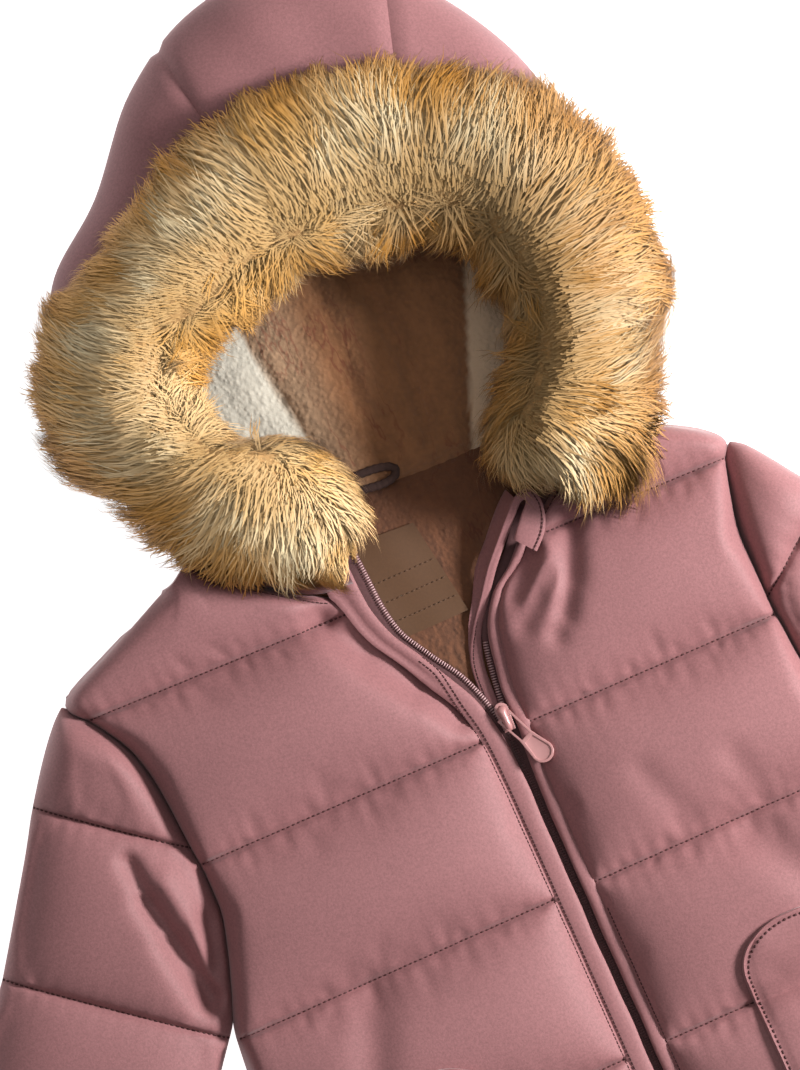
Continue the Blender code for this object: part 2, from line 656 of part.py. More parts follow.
def build_facing():
    """Shell cloth along the hood's front edge, turned inwards beside the fur."""
    stations = smooth_stations(MAIN_RING, RING_STEPS)[RING_STEPS:-RING_STEPS]
    outside, inside = [], []
    for at in stations:
        rim, out, profile = hood_section(at, False)
        base = at.rim_z - FACING_THICKNESS
        line = [rim - out * distance for distance in (SEAM_GAP, 4.0, 9.0)]
        drop = (0.0, 0.8, 2.6)
        outside.append([(spot.x, spot.y, base + FACING_THICKNESS - low) for spot, low in zip(line, drop)])
        inside.append([(spot.x, spot.y, base - low) for spot, low in zip(line, drop)])
    walled_object("hood_facing", outside, inside, CLOTH)


def surface_under(names):
    """A search tree over the outer surfaces of finished pieces, in millimetres."""
    points, faces = [], []
    for name in names:
        mesh = bpy.data.objects[name].data
        first = len(points)
        points += [corner.co / MM for corner in mesh.vertices]
        faces += [[first + index for index in face.vertices] for face in mesh.polygons]
    return BVHTree.FromPolygons(points, faces)


def build_fur():
    """Fur band as one soft roll as wide and high as its hair, lying on the hood's front edge."""
    shares = (0.0, 0.06, 0.2, 0.38, 0.5, 0.62, 0.8, 0.94, 1.0)
    ground = surface_under(("hood_side_right", "hood_centre", "hood_side_left", "hood_facing",
                            "front_right", "front_left", "sleeve_left", "wind_guard"))
    stations = ring_stations()
    rows = []
    ends = LIMB_STEPS * (len(RIGHT_LIMB) - 1) + 3
    for index, (at, limb) in enumerate(stations):
        lift = FUR_LIFT if ends < index < len(stations) - ends else LIMB_FUR_LIFT
        inner, outer = Vector((at.inner_x, at.inner_y)), Vector((at.outer_x, at.outer_y))
        width = (outer - inner).length
        height = FUR_HEIGHT * min(1.0, width / 55.0)
        if index in (0, len(stations) - 1):
            height *= 0.6
        upper, lower = [], []
        for share in shares:
            spot = inner.lerp(outer, share)
            hit = ground.ray_cast(Vector((spot.x, spot.y, 200.0)), Vector((0, 0, -1)))[0]
            lowest = lower[-1][2] - 0.45 * (spot - Vector(lower[-1][:2])).length if lower else 0.0
            inside = at.rim_z if share < 0.4 else 0.0
            base = max(lowest, inside + lift, (hit.z if hit else 0.0) + lift, LIMB_FUR_BASE if limb else 0.0)
            roll = max(0.0, 1 - abs(2 * share - 1) ** 2.2) ** 0.6
            lean = (4.0 + 4.0 * share) * (1 - roll)
            top = max(base + 2.0, at.rim_z + 6.0 + height * roll - lean)
            upper.append((spot.x, spot.y, top))
            lower.append((spot.x, spot.y, base))
        rows.append((upper, lower))
    walled_object("fur_trim", [upper for upper, lower in rows], [lower for upper, lower in rows], FUR)


def pocket_rows():
    rows = [row for row in body_rows(POCKET_FOOT, POCKET_SHOULDER)]
    return rows + [POCKET_SHOULDER + POCKET_ARCH * rise for rise in (0.25, 0.5, 0.72, 0.88, 0.98)]


def build_pocket(name, side):
    """Patch pocket with an arched top, made from the front's own surface, moved out."""
    centre = POCKET_CENTRE if side == "left" else 2 * BODY_CENTRE - POCKET_CENTRE
    outside, inside = [], []
    for row in pocket_rows():
        rise = max(0.0, (row - POCKET_SHOULDER) / POCKET_ARCH)
        half = POCKET_HALF_WIDTH * math.sqrt(1 - rise ** 2)
        xs = [centre + share * half for share in (-1.0, -0.6, -0.2, 0.2, 0.6, 1.0)]
        base = [front_top(side, x, row) + POCKET_LIFT for x in xs]
        outside.append([(x, row, z + POCKET_THICKNESS) for x, z in zip(xs, base)])
        inside.append([(x, row, z) for x, z in zip(xs, base)])
    return walled_object(name, outside, inside, CLOTH)


def build_loop():
    """Hanger loop: a cord bent back on itself, lying on the hood lining at the back neck."""
    curve = bpy.data.curves.new("hanger_loop", "CURVE")
    curve.dimensions = "3D"
    curve.bevel_depth = LOOP_RADIUS * MM
    curve.bevel_resolution = 1
    curve.use_fill_caps = True
    spline = curve.splines.new("POLY")
    spline.points.add(len(LOOP_PATH) - 1)
    z = HOOD_THICKNESS + LINING_GAP + LINING_THICKNESS + SEAM_GAP + LOOP_RADIUS
    for point, (x, y) in zip(spline.points, LOOP_PATH):
        point.co = (x * MM, y * MM, z * MM, 1.0)
    guide = bpy.data.objects.new("hanger_loop_path", curve)
    bpy.context.scene.collection.objects.link(guide)
    mesh = bpy.data.meshes.new_from_object(guide.evaluated_get(bpy.context.evaluated_depsgraph_get()))
    bpy.data.objects.remove(guide)
    work = bmesh.new()
    work.from_mesh(mesh)
    bmesh.ops.remove_doubles(work, verts=work.verts, dist=0.01 * MM)
    bmesh.ops.recalc_face_normals(work, faces=work.faces)
    work.to_mesh(mesh)
    work.free()
    mesh.name = "hanger_loop"
    return add_object("hanger_loop", mesh, RIBBON)


def plate(name, outline, holes, bottom, top):
    """A flat plate from a 2D outline with holes, between two heights, as a mesh object."""
    curve = bpy.data.curves.new(name, "CURVE")
    curve.dimensions = "2D"
    curve.fill_mode = "BOTH"
    curve.extrude = (top - bottom) / 2 * MM
    for line in [outline] + list(holes):
        spline = curve.splines.new("POLY")
        spline.points.add(len(line) - 1)
        for point, (x, y) in zip(spline.points, line):
            point.co = (x * MM, y * MM, 0.0, 1.0)
        spline.use_cyclic_u = True
    guide = bpy.data.objects.new(name, curve)
    bpy.context.scene.collection.objects.link(guide)
    mesh = bpy.data.meshes.new_from_object(guide.evaluated_get(bpy.context.evaluated_depsgraph_get()))
    bpy.data.objects.remove(guide)
    work = bmesh.new()
    work.from_mesh(mesh)
    bmesh.ops.remove_doubles(work, verts=work.verts, dist=0.005 * MM)
    bmesh.ops.translate(work, verts=work.verts, vec=(0, 0, (top + bottom) / 2 * MM))
    bmesh.ops.recalc_face_normals(work, faces=work.faces)
    work.to_mesh(mesh)
    work.free()
    made = bpy.data.objects.new(name, mesh)
    bpy.context.scene.collection.objects.link(made)
    return made


def arc(x, y, radius, start, end, steps):
    return [(x + radius * math.cos(math.radians(start + (end - start) * step / steps)),
             y + radius * math.sin(math.radians(start + (end - start) * step / steps)))
            for step in range(steps + 1)]


def combine(base, other, operation):
    """Apply a Boolean of another object to the base, and remove the other."""
    modifier = base.modifiers.new("combine", "BOOLEAN")
    modifier.operation = operation
    modifier.object = other
    mesh = bpy.data.meshes.new_from_object(base.evaluated_get(bpy.context.evaluated_depsgraph_get()))
    base.modifiers.clear()
    base.data = mesh
    bpy.data.objects.remove(other)
    return base


def build_slider():
    """Slider body with a bridge over the pull's bar."""
    half = SLIDER_WIDTH / 2
    length = SLIDER_LENGTH / 2
    outline = arc(0, length - half, half, 0, 180, 8) + [(-half * 0.8, -length), (half * 0.8, -length)]
    body = plate("slider_body", outline, [], -4.4, -2.2)
    outer = [(-3.3, -3.0), (-3.2, 1.2), (-2.3, 2.3), (2.3, 2.3), (3.2, 1.2), (3.3, -3.0)]
    window = [(-2.0, -2.0), (-1.8, 1.3), (1.8, 1.3), (2.0, -2.0)]
    bridge = plate("slider_bridge", outer, [window], -0.7, 0.7)
    bridge.data.transform(Matrix.Rotation(math.pi / 2, 4, "Y") @ Matrix.Rotation(math.pi / 2, 4, "Z"))
    combine(body, bridge, "UNION")
    body.data.transform(Matrix.Translation(HINGE * MM))
    mesh = body.data.copy()
    bpy.data.objects.remove(body)
    mesh.name = "zip_slider"
    return add_object("zip_slider", mesh, PAINT)


def build_pull():
    """Pull tab: a bar, two arms and a round-ended paddle with a sunk middle."""
    end = 4.6
    tail = -(PULL_LENGTH - 0.8 - end)
    outline = ([(3.5, 0.8), (-3.5, 0.8), (-3.1, -11.0)] + arc(0, tail, end, 172, 368, 14) + [(3.1, -11.0)])
    slot = [(2.5, -0.8), (2.1, -11.5), (-2.1, -11.5), (-2.5, -0.8)]
    tab = plate("pull_tab", outline, [slot], -0.8, 0.8)
    recess = plate("pull_recess", [(2.1, -13.2), (-2.1, -13.2)] + arc(0, tail, end - 1.1, 176, 364, 14), [],
                   0.35, 2.0)
    combine(tab, recess, "DIFFERENCE")
    mesh = tab.data.copy()
    bpy.data.objects.remove(tab)
    mesh.name = "zip_pull"
    made = add_object("zip_pull", mesh, PAINT)
    made.location = HINGE * MM
    made.rotation_euler = (-PULL_RISE, 0.0, PULL_TURN)
    return made


def move_to_origin(objects):
    """Put the jacket's origin at the scene's, in the meshes of all pieces that don't turn."""
    for item in objects:
        if item.name == "zip_pull":
            item.location -= ORIGIN * MM
        else:
            item.data.transform(Matrix.Translation(-ORIGIN * MM))


def build():
    clear_scene()
    collection = bpy.data.collections.new(COLLECTION)
    bpy.context.scene.collection.children.link(collection)
    build_back()
    build_front("front_right", "right")
    build_front("front_left", "left")
    build_sleeve("sleeve_right", "right")
    build_sleeve("sleeve_left", "left")
    build_hood()
    build_hood_lining()
    build_facing()
    build_neck_lining()
    build_label()
    build_wind_guard()
    build_fur()
    strip("placket_flap", "right", FLAP_EDGE, HEM_ROW, 147, FLAP_BASE, FLAP_THICKNESS, CLOTH)
    strip("placket_edge", "left", NARROW_EDGE, HEM_ROW, 140, FLAP_BASE, FLAP_THICKNESS, CLOTH)
    strip("zip_tape_right", "right", COIL_RIGHT, ZIP_FOOT, 147, TAPE_BASE, TAPE_THICKNESS, TAPE)
    strip("zip_tape_left", "left", COIL_LEFT, ZIP_FOOT, 109, TAPE_BASE, TAPE_THICKNESS, TAPE)
    build_pocket("pocket_right", "right")
    build_pocket("pocket_left", "left")
    build_loop()
    build_slider()
    build_pull()
    move_to_origin(collection.objects)


build()
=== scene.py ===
# %% [markdown]
# # A child's hooded puffer jacket, lying flat on its back
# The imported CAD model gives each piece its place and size. This lesson dresses it: padded
# cloth, pile lining, a fur band, a coil zip and a few hundred stitches. All drawing sizes
# are in millimetres, in the jacket's own frame: X towards the wearer's left, Y from the hem
# to the hood, Z up from the surface.

# %% Load the frame
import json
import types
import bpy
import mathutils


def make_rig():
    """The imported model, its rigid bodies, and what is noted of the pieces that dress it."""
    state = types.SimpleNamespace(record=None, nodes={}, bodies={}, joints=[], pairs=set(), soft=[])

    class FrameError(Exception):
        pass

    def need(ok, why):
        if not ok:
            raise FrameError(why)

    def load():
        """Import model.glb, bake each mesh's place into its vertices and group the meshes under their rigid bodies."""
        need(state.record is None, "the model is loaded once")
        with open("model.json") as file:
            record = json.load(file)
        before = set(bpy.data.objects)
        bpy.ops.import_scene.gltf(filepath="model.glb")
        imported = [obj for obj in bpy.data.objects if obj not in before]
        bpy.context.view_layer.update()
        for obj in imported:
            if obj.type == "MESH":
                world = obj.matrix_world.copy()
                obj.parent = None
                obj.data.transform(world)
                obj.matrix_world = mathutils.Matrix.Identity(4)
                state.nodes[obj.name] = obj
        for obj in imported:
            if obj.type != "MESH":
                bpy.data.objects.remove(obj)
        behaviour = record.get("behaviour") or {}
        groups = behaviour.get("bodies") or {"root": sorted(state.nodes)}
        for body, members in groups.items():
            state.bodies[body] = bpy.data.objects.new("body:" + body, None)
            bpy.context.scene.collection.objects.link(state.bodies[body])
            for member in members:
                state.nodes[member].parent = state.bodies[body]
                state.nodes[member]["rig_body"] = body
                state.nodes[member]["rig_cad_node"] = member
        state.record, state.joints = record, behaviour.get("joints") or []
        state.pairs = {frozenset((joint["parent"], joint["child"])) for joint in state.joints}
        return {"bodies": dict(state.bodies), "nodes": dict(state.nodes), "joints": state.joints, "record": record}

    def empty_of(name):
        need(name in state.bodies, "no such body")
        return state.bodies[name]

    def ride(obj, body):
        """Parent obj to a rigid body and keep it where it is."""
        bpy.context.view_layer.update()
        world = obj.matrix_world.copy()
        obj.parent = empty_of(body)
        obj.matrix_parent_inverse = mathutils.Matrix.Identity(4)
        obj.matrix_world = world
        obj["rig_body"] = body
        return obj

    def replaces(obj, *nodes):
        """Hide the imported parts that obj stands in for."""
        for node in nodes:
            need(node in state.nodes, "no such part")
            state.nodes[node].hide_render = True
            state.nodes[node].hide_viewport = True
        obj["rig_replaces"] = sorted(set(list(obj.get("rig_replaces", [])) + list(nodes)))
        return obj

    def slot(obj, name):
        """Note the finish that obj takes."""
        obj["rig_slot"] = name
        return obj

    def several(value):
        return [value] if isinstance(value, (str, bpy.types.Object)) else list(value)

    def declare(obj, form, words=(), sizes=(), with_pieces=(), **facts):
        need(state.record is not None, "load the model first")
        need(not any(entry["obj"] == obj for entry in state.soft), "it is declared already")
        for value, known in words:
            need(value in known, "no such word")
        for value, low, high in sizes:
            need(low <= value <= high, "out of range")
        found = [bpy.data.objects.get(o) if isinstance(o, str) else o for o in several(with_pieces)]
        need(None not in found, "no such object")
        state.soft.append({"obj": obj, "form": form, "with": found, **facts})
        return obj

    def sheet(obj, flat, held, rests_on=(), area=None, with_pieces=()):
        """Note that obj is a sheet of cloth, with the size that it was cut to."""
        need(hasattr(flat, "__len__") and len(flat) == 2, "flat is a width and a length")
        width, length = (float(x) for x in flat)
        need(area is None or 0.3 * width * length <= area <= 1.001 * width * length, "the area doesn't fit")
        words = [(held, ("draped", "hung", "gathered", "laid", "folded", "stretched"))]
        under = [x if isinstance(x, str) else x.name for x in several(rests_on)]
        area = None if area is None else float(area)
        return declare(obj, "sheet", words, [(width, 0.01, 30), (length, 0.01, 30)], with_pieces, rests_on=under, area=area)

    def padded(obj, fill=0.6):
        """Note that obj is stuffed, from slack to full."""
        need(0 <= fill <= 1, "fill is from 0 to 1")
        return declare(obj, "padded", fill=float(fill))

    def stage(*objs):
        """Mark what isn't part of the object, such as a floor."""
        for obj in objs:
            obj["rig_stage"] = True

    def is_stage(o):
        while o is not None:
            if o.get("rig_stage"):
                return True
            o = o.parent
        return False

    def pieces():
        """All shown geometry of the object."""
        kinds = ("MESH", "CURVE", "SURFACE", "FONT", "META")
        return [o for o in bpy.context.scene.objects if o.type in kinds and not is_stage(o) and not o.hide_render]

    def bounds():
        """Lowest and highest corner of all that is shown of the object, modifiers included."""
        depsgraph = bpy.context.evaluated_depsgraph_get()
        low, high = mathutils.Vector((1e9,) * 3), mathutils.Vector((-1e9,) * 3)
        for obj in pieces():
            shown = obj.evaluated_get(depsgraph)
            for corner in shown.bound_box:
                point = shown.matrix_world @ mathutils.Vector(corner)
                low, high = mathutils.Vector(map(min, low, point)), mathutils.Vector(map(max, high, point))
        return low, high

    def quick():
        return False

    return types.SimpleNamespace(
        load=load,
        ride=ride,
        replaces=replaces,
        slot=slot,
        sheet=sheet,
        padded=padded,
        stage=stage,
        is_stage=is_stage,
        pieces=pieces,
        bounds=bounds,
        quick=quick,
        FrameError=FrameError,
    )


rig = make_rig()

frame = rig.load()

from collections import namedtuple
import json
import math
import time

import bmesh
import bpy
import numpy as np
from mathutils import Matrix, Vector
from mathutils.bvhtree import BVHTree

START = time.time()
CAD_BOX = [list(corner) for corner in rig.bounds()]
MM = 0.001
ORIGIN = np.array((0.0, 35.0, 0.0))
SCENE = bpy.context.scene
print("CAD box", CAD_BOX)

# %% [markdown]
# ## Camera, lights and floor
# The photograph looks straight down on the jacket from a good distance, with the camera
# turned by 24 degrees. A long lens from 2.4 metres keeps the high fur from growing in the
# picture. One soft lamp from the right shapes the folds; a large lamp above and the world's
# light fill the shadows.

# %% Camera
PHOTO_TURN = math.radians(-24.0)
PHOTO_CENTRE = np.array((-0.9, 158.6, 0.0))
CAMERA_HEIGHT = 2.4
FRAMED_PLANE = 0.02
FRAMED_LENGTH = 0.428
SENSOR = 36.0


def add_camera():
    lens = bpy.data.cameras.new("photo_camera")
    lens.sensor_width = SENSOR
    lens.lens = SENSOR * (CAMERA_HEIGHT - FRAMED_PLANE) / FRAMED_LENGTH
    lens.clip_start, lens.clip_end = 0.05, 20.0
    camera = bpy.data.objects.new("photo_camera", lens)
    SCENE.collection.objects.link(camera)
    camera.location = Vector((PHOTO_CENTRE - ORIGIN) * MM) + Vector((0, 0, CAMERA_HEIGHT))
    camera.rotation_euler = (0.0, 0.0, PHOTO_TURN)
    SCENE.camera = camera
    return camera


add_camera()


# %% Lights, world and floor
def add_lamp(name, azimuth, elevation, distance, size, power):
    """Square lamp that looks at the jacket's chest from an azimuth (0 is +X) and elevation."""
    lamp = bpy.data.lights.new(name, "AREA")
    lamp.shape, lamp.size, lamp.energy = "SQUARE", size, power
    item = bpy.data.objects.new(name, lamp)
    SCENE.collection.objects.link(item)
    a, e = math.radians(azimuth), math.radians(elevation)
    away = Vector((math.cos(a) * math.cos(e), math.sin(a) * math.cos(e), math.sin(e)))
    item.location = Vector((0.0, 0.12, 0.03)) + away * distance
    item.rotation_mode = "QUATERNION"
    item.rotation_quaternion = away.to_track_quat("Z", "Y")
    return item


def add_stage():
    world = bpy.data.worlds.new("studio")
    SCENE.world = world
    world.use_nodes = True
    ground = world.node_tree.nodes["Background"]
    ground.inputs["Color"].default_value = (1.0, 1.0, 1.0, 1.0)
    ground.inputs["Strength"].default_value = 0.24
    add_lamp("key", -10.0, 31.0, 1.25, 0.26, 31.0)
    add_lamp("top_fill", 60.0, 75.0, 2.0, 1.6, 6.5)
    SCENE.view_settings.view_transform = "Standard"
    mesh = bpy.data.meshes.new("floor")
    half = 3.0
    mesh.from_pydata([(-half, -half, -0.0006), (half, -half, -0.0006),
                      (half, half, -0.0006), (-half, half, -0.0006)], [], [(0, 1, 2, 3)])
    floor = bpy.data.objects.new("floor", mesh)
    SCENE.collection.objects.link(floor)
    paint = bpy.data.materials.new("floor_paper")
    paint.use_nodes = True
    shader = paint.node_tree.nodes["Principled BSDF"]
    shader.inputs["Base Color"].default_value = (0.93, 0.93, 0.93, 1.0)
    shader.inputs["Roughness"].default_value = 0.9
    shader.inputs["Emission Color"].default_value = (1.0, 1.0, 1.0, 1.0)
    shader.inputs["Emission Strength"].default_value = 1.0
    mesh.materials.append(paint)
    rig.stage(floor)


add_stage()


# %% [markdown]
# ## Shader maths as Python
# A material is easier to read as an expression than as wires. `Value` wraps a socket, and
# the operators below add Math nodes. `Shader.node` adds any other node.

# %% A small class for shader maths
class Value:
    """A number socket of a material that Python's operators work on."""

    def __init__(self, shader, socket):
        self.shader, self.socket = shader, socket

    def maths(self, operation, *others, clamp=False):
        return self.shader.node("Math", {"operation": operation, "use_clamp": clamp},
                                **{str(i): v for i, v in enumerate((self, *others))})

    def __add__(self, other): return self.maths("ADD", other)
    def __sub__(self, other): return self.maths("SUBTRACT", other)
    def __mul__(self, other): return self.maths("MULTIPLY", other)
    def __truediv__(self, other): return self.maths("DIVIDE", other)
    def __pow__(self, other): return self.maths("POWER", other)
    def __rsub__(self, other):
        return self.shader.node("Math", {"operation": "SUBTRACT"}, **{"0": other, "1": self})

    __radd__, __rmul__ = __add__, __mul__
    def clamp(self): return self.maths("ADD", 0.0, clamp=True)


class Shader:
    """A node material under construction."""

    def __init__(self, name, **sockets):
        self.material = bpy.data.materials.new(name)
        self.material.use_nodes = True
        self.tree = self.material.node_tree
        self.surface = self.tree.nodes["Principled BSDF"]
        for socket, value in sockets.items():
            self.surface.inputs[socket.replace("_", " ")].default_value = value

    def node(self, kind, settings=None, output=0, **inputs):
        made = self.tree.nodes.new("ShaderNode" + kind)
        for key, value in (settings or {}).items():
            if key == "stops":
                self.set_stops(made, value)
            else:
                setattr(made, key, value)
        for key, value in inputs.items():
            socket = made.inputs[int(key) if key.isdigit() else key.replace("_", " ")]
            self.feed(socket, value)
        return Value(self, made.outputs[output])

    def set_stops(self, ramp, stops):
        elements = ramp.color_ramp.elements
        while len(elements) < len(stops):
            elements.new(0.5)
        for element, (place, colour) in zip(elements, stops):
            element.position, element.color = place, (*colour, 1.0)

    def feed(self, socket, value):
        if isinstance(value, Value):
            self.tree.links.new(value.socket, socket)
        elif isinstance(value, tuple) and len(value) == 3 and socket.type == "RGBA":
            socket.default_value = (*value, 1.0)
        else:
            socket.default_value = value

    def set(self, **sockets):
        for name, value in sockets.items():
            self.feed(self.surface.inputs[name.replace("_", " ")], value)
        return self

    def place(self):
        return self.node("TexCoord", output=3)

    def noise(self, scale, detail=2.0, roughness=0.5, vector=None, output=0):
        return self.node("TexNoise", output=output, Vector=vector or self.place(), Scale=scale,
                         Detail=detail, Roughness=roughness)

    def blend(self, factor, low, high):
        return self.node("Mix", {"data_type": "RGBA"}, output=2, **{"0": factor, "6": low, "7": high})

    def relief(self, height, strength, distance):
        return self.set(Normal=self.node("Bump", Height=height, Strength=strength, Distance=distance))


def contrast(value, middle, gain):
    """Stretch a noise about its middle into a mask from 0 to 1."""
    return ((value - middle) * gain + 0.5).clamp()


# %% [markdown]
# ## Shell cloth
# The shell is a tightly woven polyester satin: a dusty mauve with a soft sheen and a grain
# that is finer than a millimetre.

# %% Shell cloth material
MAUVE = (0.285, 0.122, 0.125)


def shell_cloth(name, colour=MAUVE, roughness=0.64):
    cloth = Shader(name, Roughness=roughness, Specular_IOR_Level=0.34, Sheen_Weight=0.22, Sheen_Roughness=0.4)
    grain = contrast(cloth.noise(950.0, 2.0, 0.7), 0.5, 2.2)
    tone = cloth.noise(38.0, 3.0)
    dark = tuple(c * 0.80 for c in colour)
    light = tuple(c * 1.18 for c in colour)
    cloth.set(Base_Color=cloth.blend((grain * 0.8 + tone * 0.3 - 0.05).clamp(), dark, light))
    cloth.relief(grain, 0.3, 0.00012)
    return cloth.material


SHELL = shell_cloth("satin_mauve")

# %% [markdown]
# ## Helpers for cloth in sheets of points

# %% Tables shared with the CAD source
SEAM_GAP = 0.3
QUILT_PITCH = 70.0
BACK_THICKNESS = 8.0
FRONT_BASE = BACK_THICKNESS + SEAM_GAP
EDGE_THICKNESS = 4.0
QUILT_THICKNESS = 9.0
PUFF_THICKNESS = 18.0
PLACKET_THICKNESS = 8.2
SEAM_FALL = 7.5
ARMHOLE_FULLNESS = 0.42
UNDERARM_ROW = 7.0
PLACKET_FALL = 40.0
HEM_ROW = -205.0
HEM_STITCH_ROW = -191.0
NECK_ROW = 176.0
SHOULDER_DROP = 8.0
NECK_RISE = 6.0
QUILT_ROWS = (-140.0, -70.0, 0.0, 70.0, 140.0)

BODY_RIGHT = ((-205, -158), (-140, -155), (-70, -148), (0, -142.5), (7, -141), (17.5, -137), (35, -131),
              (52.5, -127), (63, -127), (77, -128), (105, -130), (122.5, -134), (133, -140), (140, -145),
              (147, -151.5), (150, -152), (157, -138), (166, -118), (176, -97))
BODY_LEFT = ((-205, 154), (-140, 150), (-70, 144), (0, 139), (7, 137.5), (17.5, 132), (35, 127),
             (52.5, 124.6), (63, 124), (77, 123), (105, 123), (122.5, 126), (133, 128.5), (140, 130.5),
             (147, 134), (150, 132), (157, 124.5), (166, 108), (176, 90))
INNER_RIGHT = ((-205, -3), (40, -3), (60, -3.4), (70, -4.2), (84, -7), (100, -15), (111, -20.5),
               (125, -28.5), (133, -31.5), (141, -33.5), (147, -36), (151, -44), (160, -57.5), (168, -69),
               (176, -80))
INNER_LEFT = ((-205, 13), (40, 13.2), (60, 14.3), (70, 15.6), (84, 15.5), (100, 17.7), (111, 20),
              (125, 27.5), (133, 38.5), (141, 45.5), (147, 53), (151, 58), (160, 70), (168, 79), (176, 88))
Fold = namedtuple("Fold", "x0 y0 x1 y1 width depth")
FOLDS = [Fold(*line) for line in (
    (66, 147, 61, 131, 5.5, 4.2), (61, 131, 54, 115, 5.5, 4.2),
    (54, 115, 46, 103, 5, 3.6), (46, 103, 40, 97, 4.5, 2.4),
    (52, 138, 45, 114, 4.5, -1.0), (44, 131, 31, 117, 5, 3.2), (48, 119, 30, 106, 5, 2.4),
    (49, 33, 58, 8, 6, 1.2), (85, 24, 89, 4, 6, 1.2),
    (-44, 140, -32, 118, 6.5, 7.0), (-32, 118, -19, 99, 6.5, 6.5), (-19, 99, -9, 82, 5.5, 5.0),
    (80, -8, 96, -36, 9, 3.0), (-86, -6, -98, -34, 9, 3.0),
    (-153.5, 83, -152.5, 66, 4, 4.5), (-152.5, 66, -149.5, 48, 5, 8.0), (-149.5, 48, -146, 20, 6, 10.0),
    (-143, 70, -140, 40, 6, -2.5), (-134, 49, -139, 30, 4.5, 5.5), (146, 84, 143, 28, 9, 5.0))]


# %% Reading the tables and measuring distances
def smooth_curve(pairs):
    """A function that reads a table between its rows on a curve that never overshoots them."""
    keys, values = np.array(pairs, float).T
    slopes = np.diff(values) / np.diff(keys)
    before, after = slopes[:-1], slopes[1:]
    total = np.where(before + after == 0, 1.0, before + after)
    inner = np.where(before * after <= 0, 0.0, 2 * before * after / total)
    tangents = np.concatenate([[slopes[0]], inner, [slopes[-1]]])

    def read(key):
        key = np.clip(key, keys[0], keys[-1])
        at = np.clip(np.searchsorted(keys, key, side="right") - 1, 0, len(slopes) - 1)
        span = keys[at + 1] - keys[at]
        t = (key - keys[at]) / span
        return ((1 + 2 * t) * (1 - t) ** 2 * values[at] + t * (1 - t) ** 2 * span * tangents[at]
                + t * t * (3 - 2 * t) * values[at + 1] + t * t * (t - 1) * span * tangents[at + 1])
    return read


body_edge = {"right": smooth_curve(BODY_RIGHT), "left": smooth_curve(BODY_LEFT)}
front_edge = {"right": smooth_curve(INNER_RIGHT), "left": smooth_curve(INNER_LEFT)}


def row_height(x, row):
    """Y of a point at x on a body row; rows sag a little towards the left shoulder."""
    share = np.maximum(row, 0.0) / NECK_ROW
    rise = np.maximum(row - 140.0, 0.0) / (NECK_ROW - 140.0)
    sag = SHOULDER_DROP * share ** 2 * (x + 95.0) / 187.0
    return row - sag + NECK_RISE * rise * np.maximum(0.0, 1.0 - (x / 80.0) ** 2)


def line_distance(x, y, line):
    """Distance of every point to the nearest segment of a line, in blocks to save memory."""
    line = np.asarray(line, float)
    a, b = line[:-1], line[1:]
    step = b - a
    length = (step ** 2).sum(1) + 1e-9
    best = np.full(np.shape(x), 1e9)
    for (ax, ay), (sx, sy), ll in zip(a, step, length):
        along = np.clip(((x - ax) * sx + (y - ay) * sy) / ll, 0.0, 1.0)
        best = np.minimum(best, np.hypot(x - ax - along * sx, y - ay - along * sy))
    return best


def fall(distance, reach):
    """Quarter-round rise from 0 at a seam to 1 at a distance of reach."""
    share = np.clip(distance / reach, 0.0, 1.0)
    return np.sqrt(1 - (1 - share) ** 2)


def ripple(x, y, wave, seed=0.0):
    """Smooth, repeatable unevenness between -1 and 1, from a few crossing waves."""
    total = np.zeros(np.shape(x))
    for turn, stretch, phase in ((0.3, 1.0, 0.0), (1.4, 1.37, 2.1), (2.5, 0.83, 4.4), (3.9, 1.71, 1.3)):
        along = x * math.cos(turn + seed) + y * math.sin(turn + seed)
        total = total + np.sin(2 * math.pi * along / (wave * stretch) + phase + seed * 3)
    return total / 4


def fold_depth(x, y):
    """How far the large creases sink the outer cloth; where two meet, the deeper one counts."""
    sunk = raised = 0.0 * (x + y)
    for fold in FOLDS:
        away = line_distance(x, y, ((fold.x0, fold.y0), (fold.x1, fold.y1))) / fold.width
        depth = fold.depth * np.exp(-away ** 2)
        sunk, raised = np.maximum(sunk, depth), np.minimum(raised, depth)
    return sunk + raised


def puff(row):
    """How full a channel is: 0 on a quilting line, 1 in the middle of a channel."""
    row = np.asarray(row, float)
    low = np.floor(row / QUILT_PITCH) * QUILT_PITCH
    high = np.full_like(row, QUILT_PITCH)
    last = low < HEM_STITCH_ROW
    low, high = np.where(last, HEM_STITCH_ROW, low), np.where(last, -140.0 - HEM_STITCH_ROW, high)
    share = np.clip((row - low) / high, 0, 1)
    body = np.maximum(0.0, 4 * share * (1 - share)) ** 0.42
    share = np.clip((row - HEM_ROW) / (HEM_STITCH_ROW - HEM_ROW), 0, 1)
    hem = 0.35 * np.sqrt(np.maximum(0.0, 4 * share * (1 - share)))
    return np.where(row < HEM_STITCH_ROW, hem, body)


LINE_ROWS = np.arange(HEM_ROW, NECK_ROW + 0.1, 3.0)
NECK_ROWS = np.linspace(147.0, NECK_ROW, 9)


def side_line(side):
    x = body_edge[side](LINE_ROWS)
    return np.stack([x, row_height(x, LINE_ROWS)], 1)


def neck_line(side):
    x = front_edge[side](NECK_ROWS)
    return np.stack([x, row_height(x, NECK_ROWS)], 1)


SIDE_LINES = {side: side_line(side) for side in ("right", "left")}
NECK_LINES = {side: neck_line(side) for side in ("right", "left")}


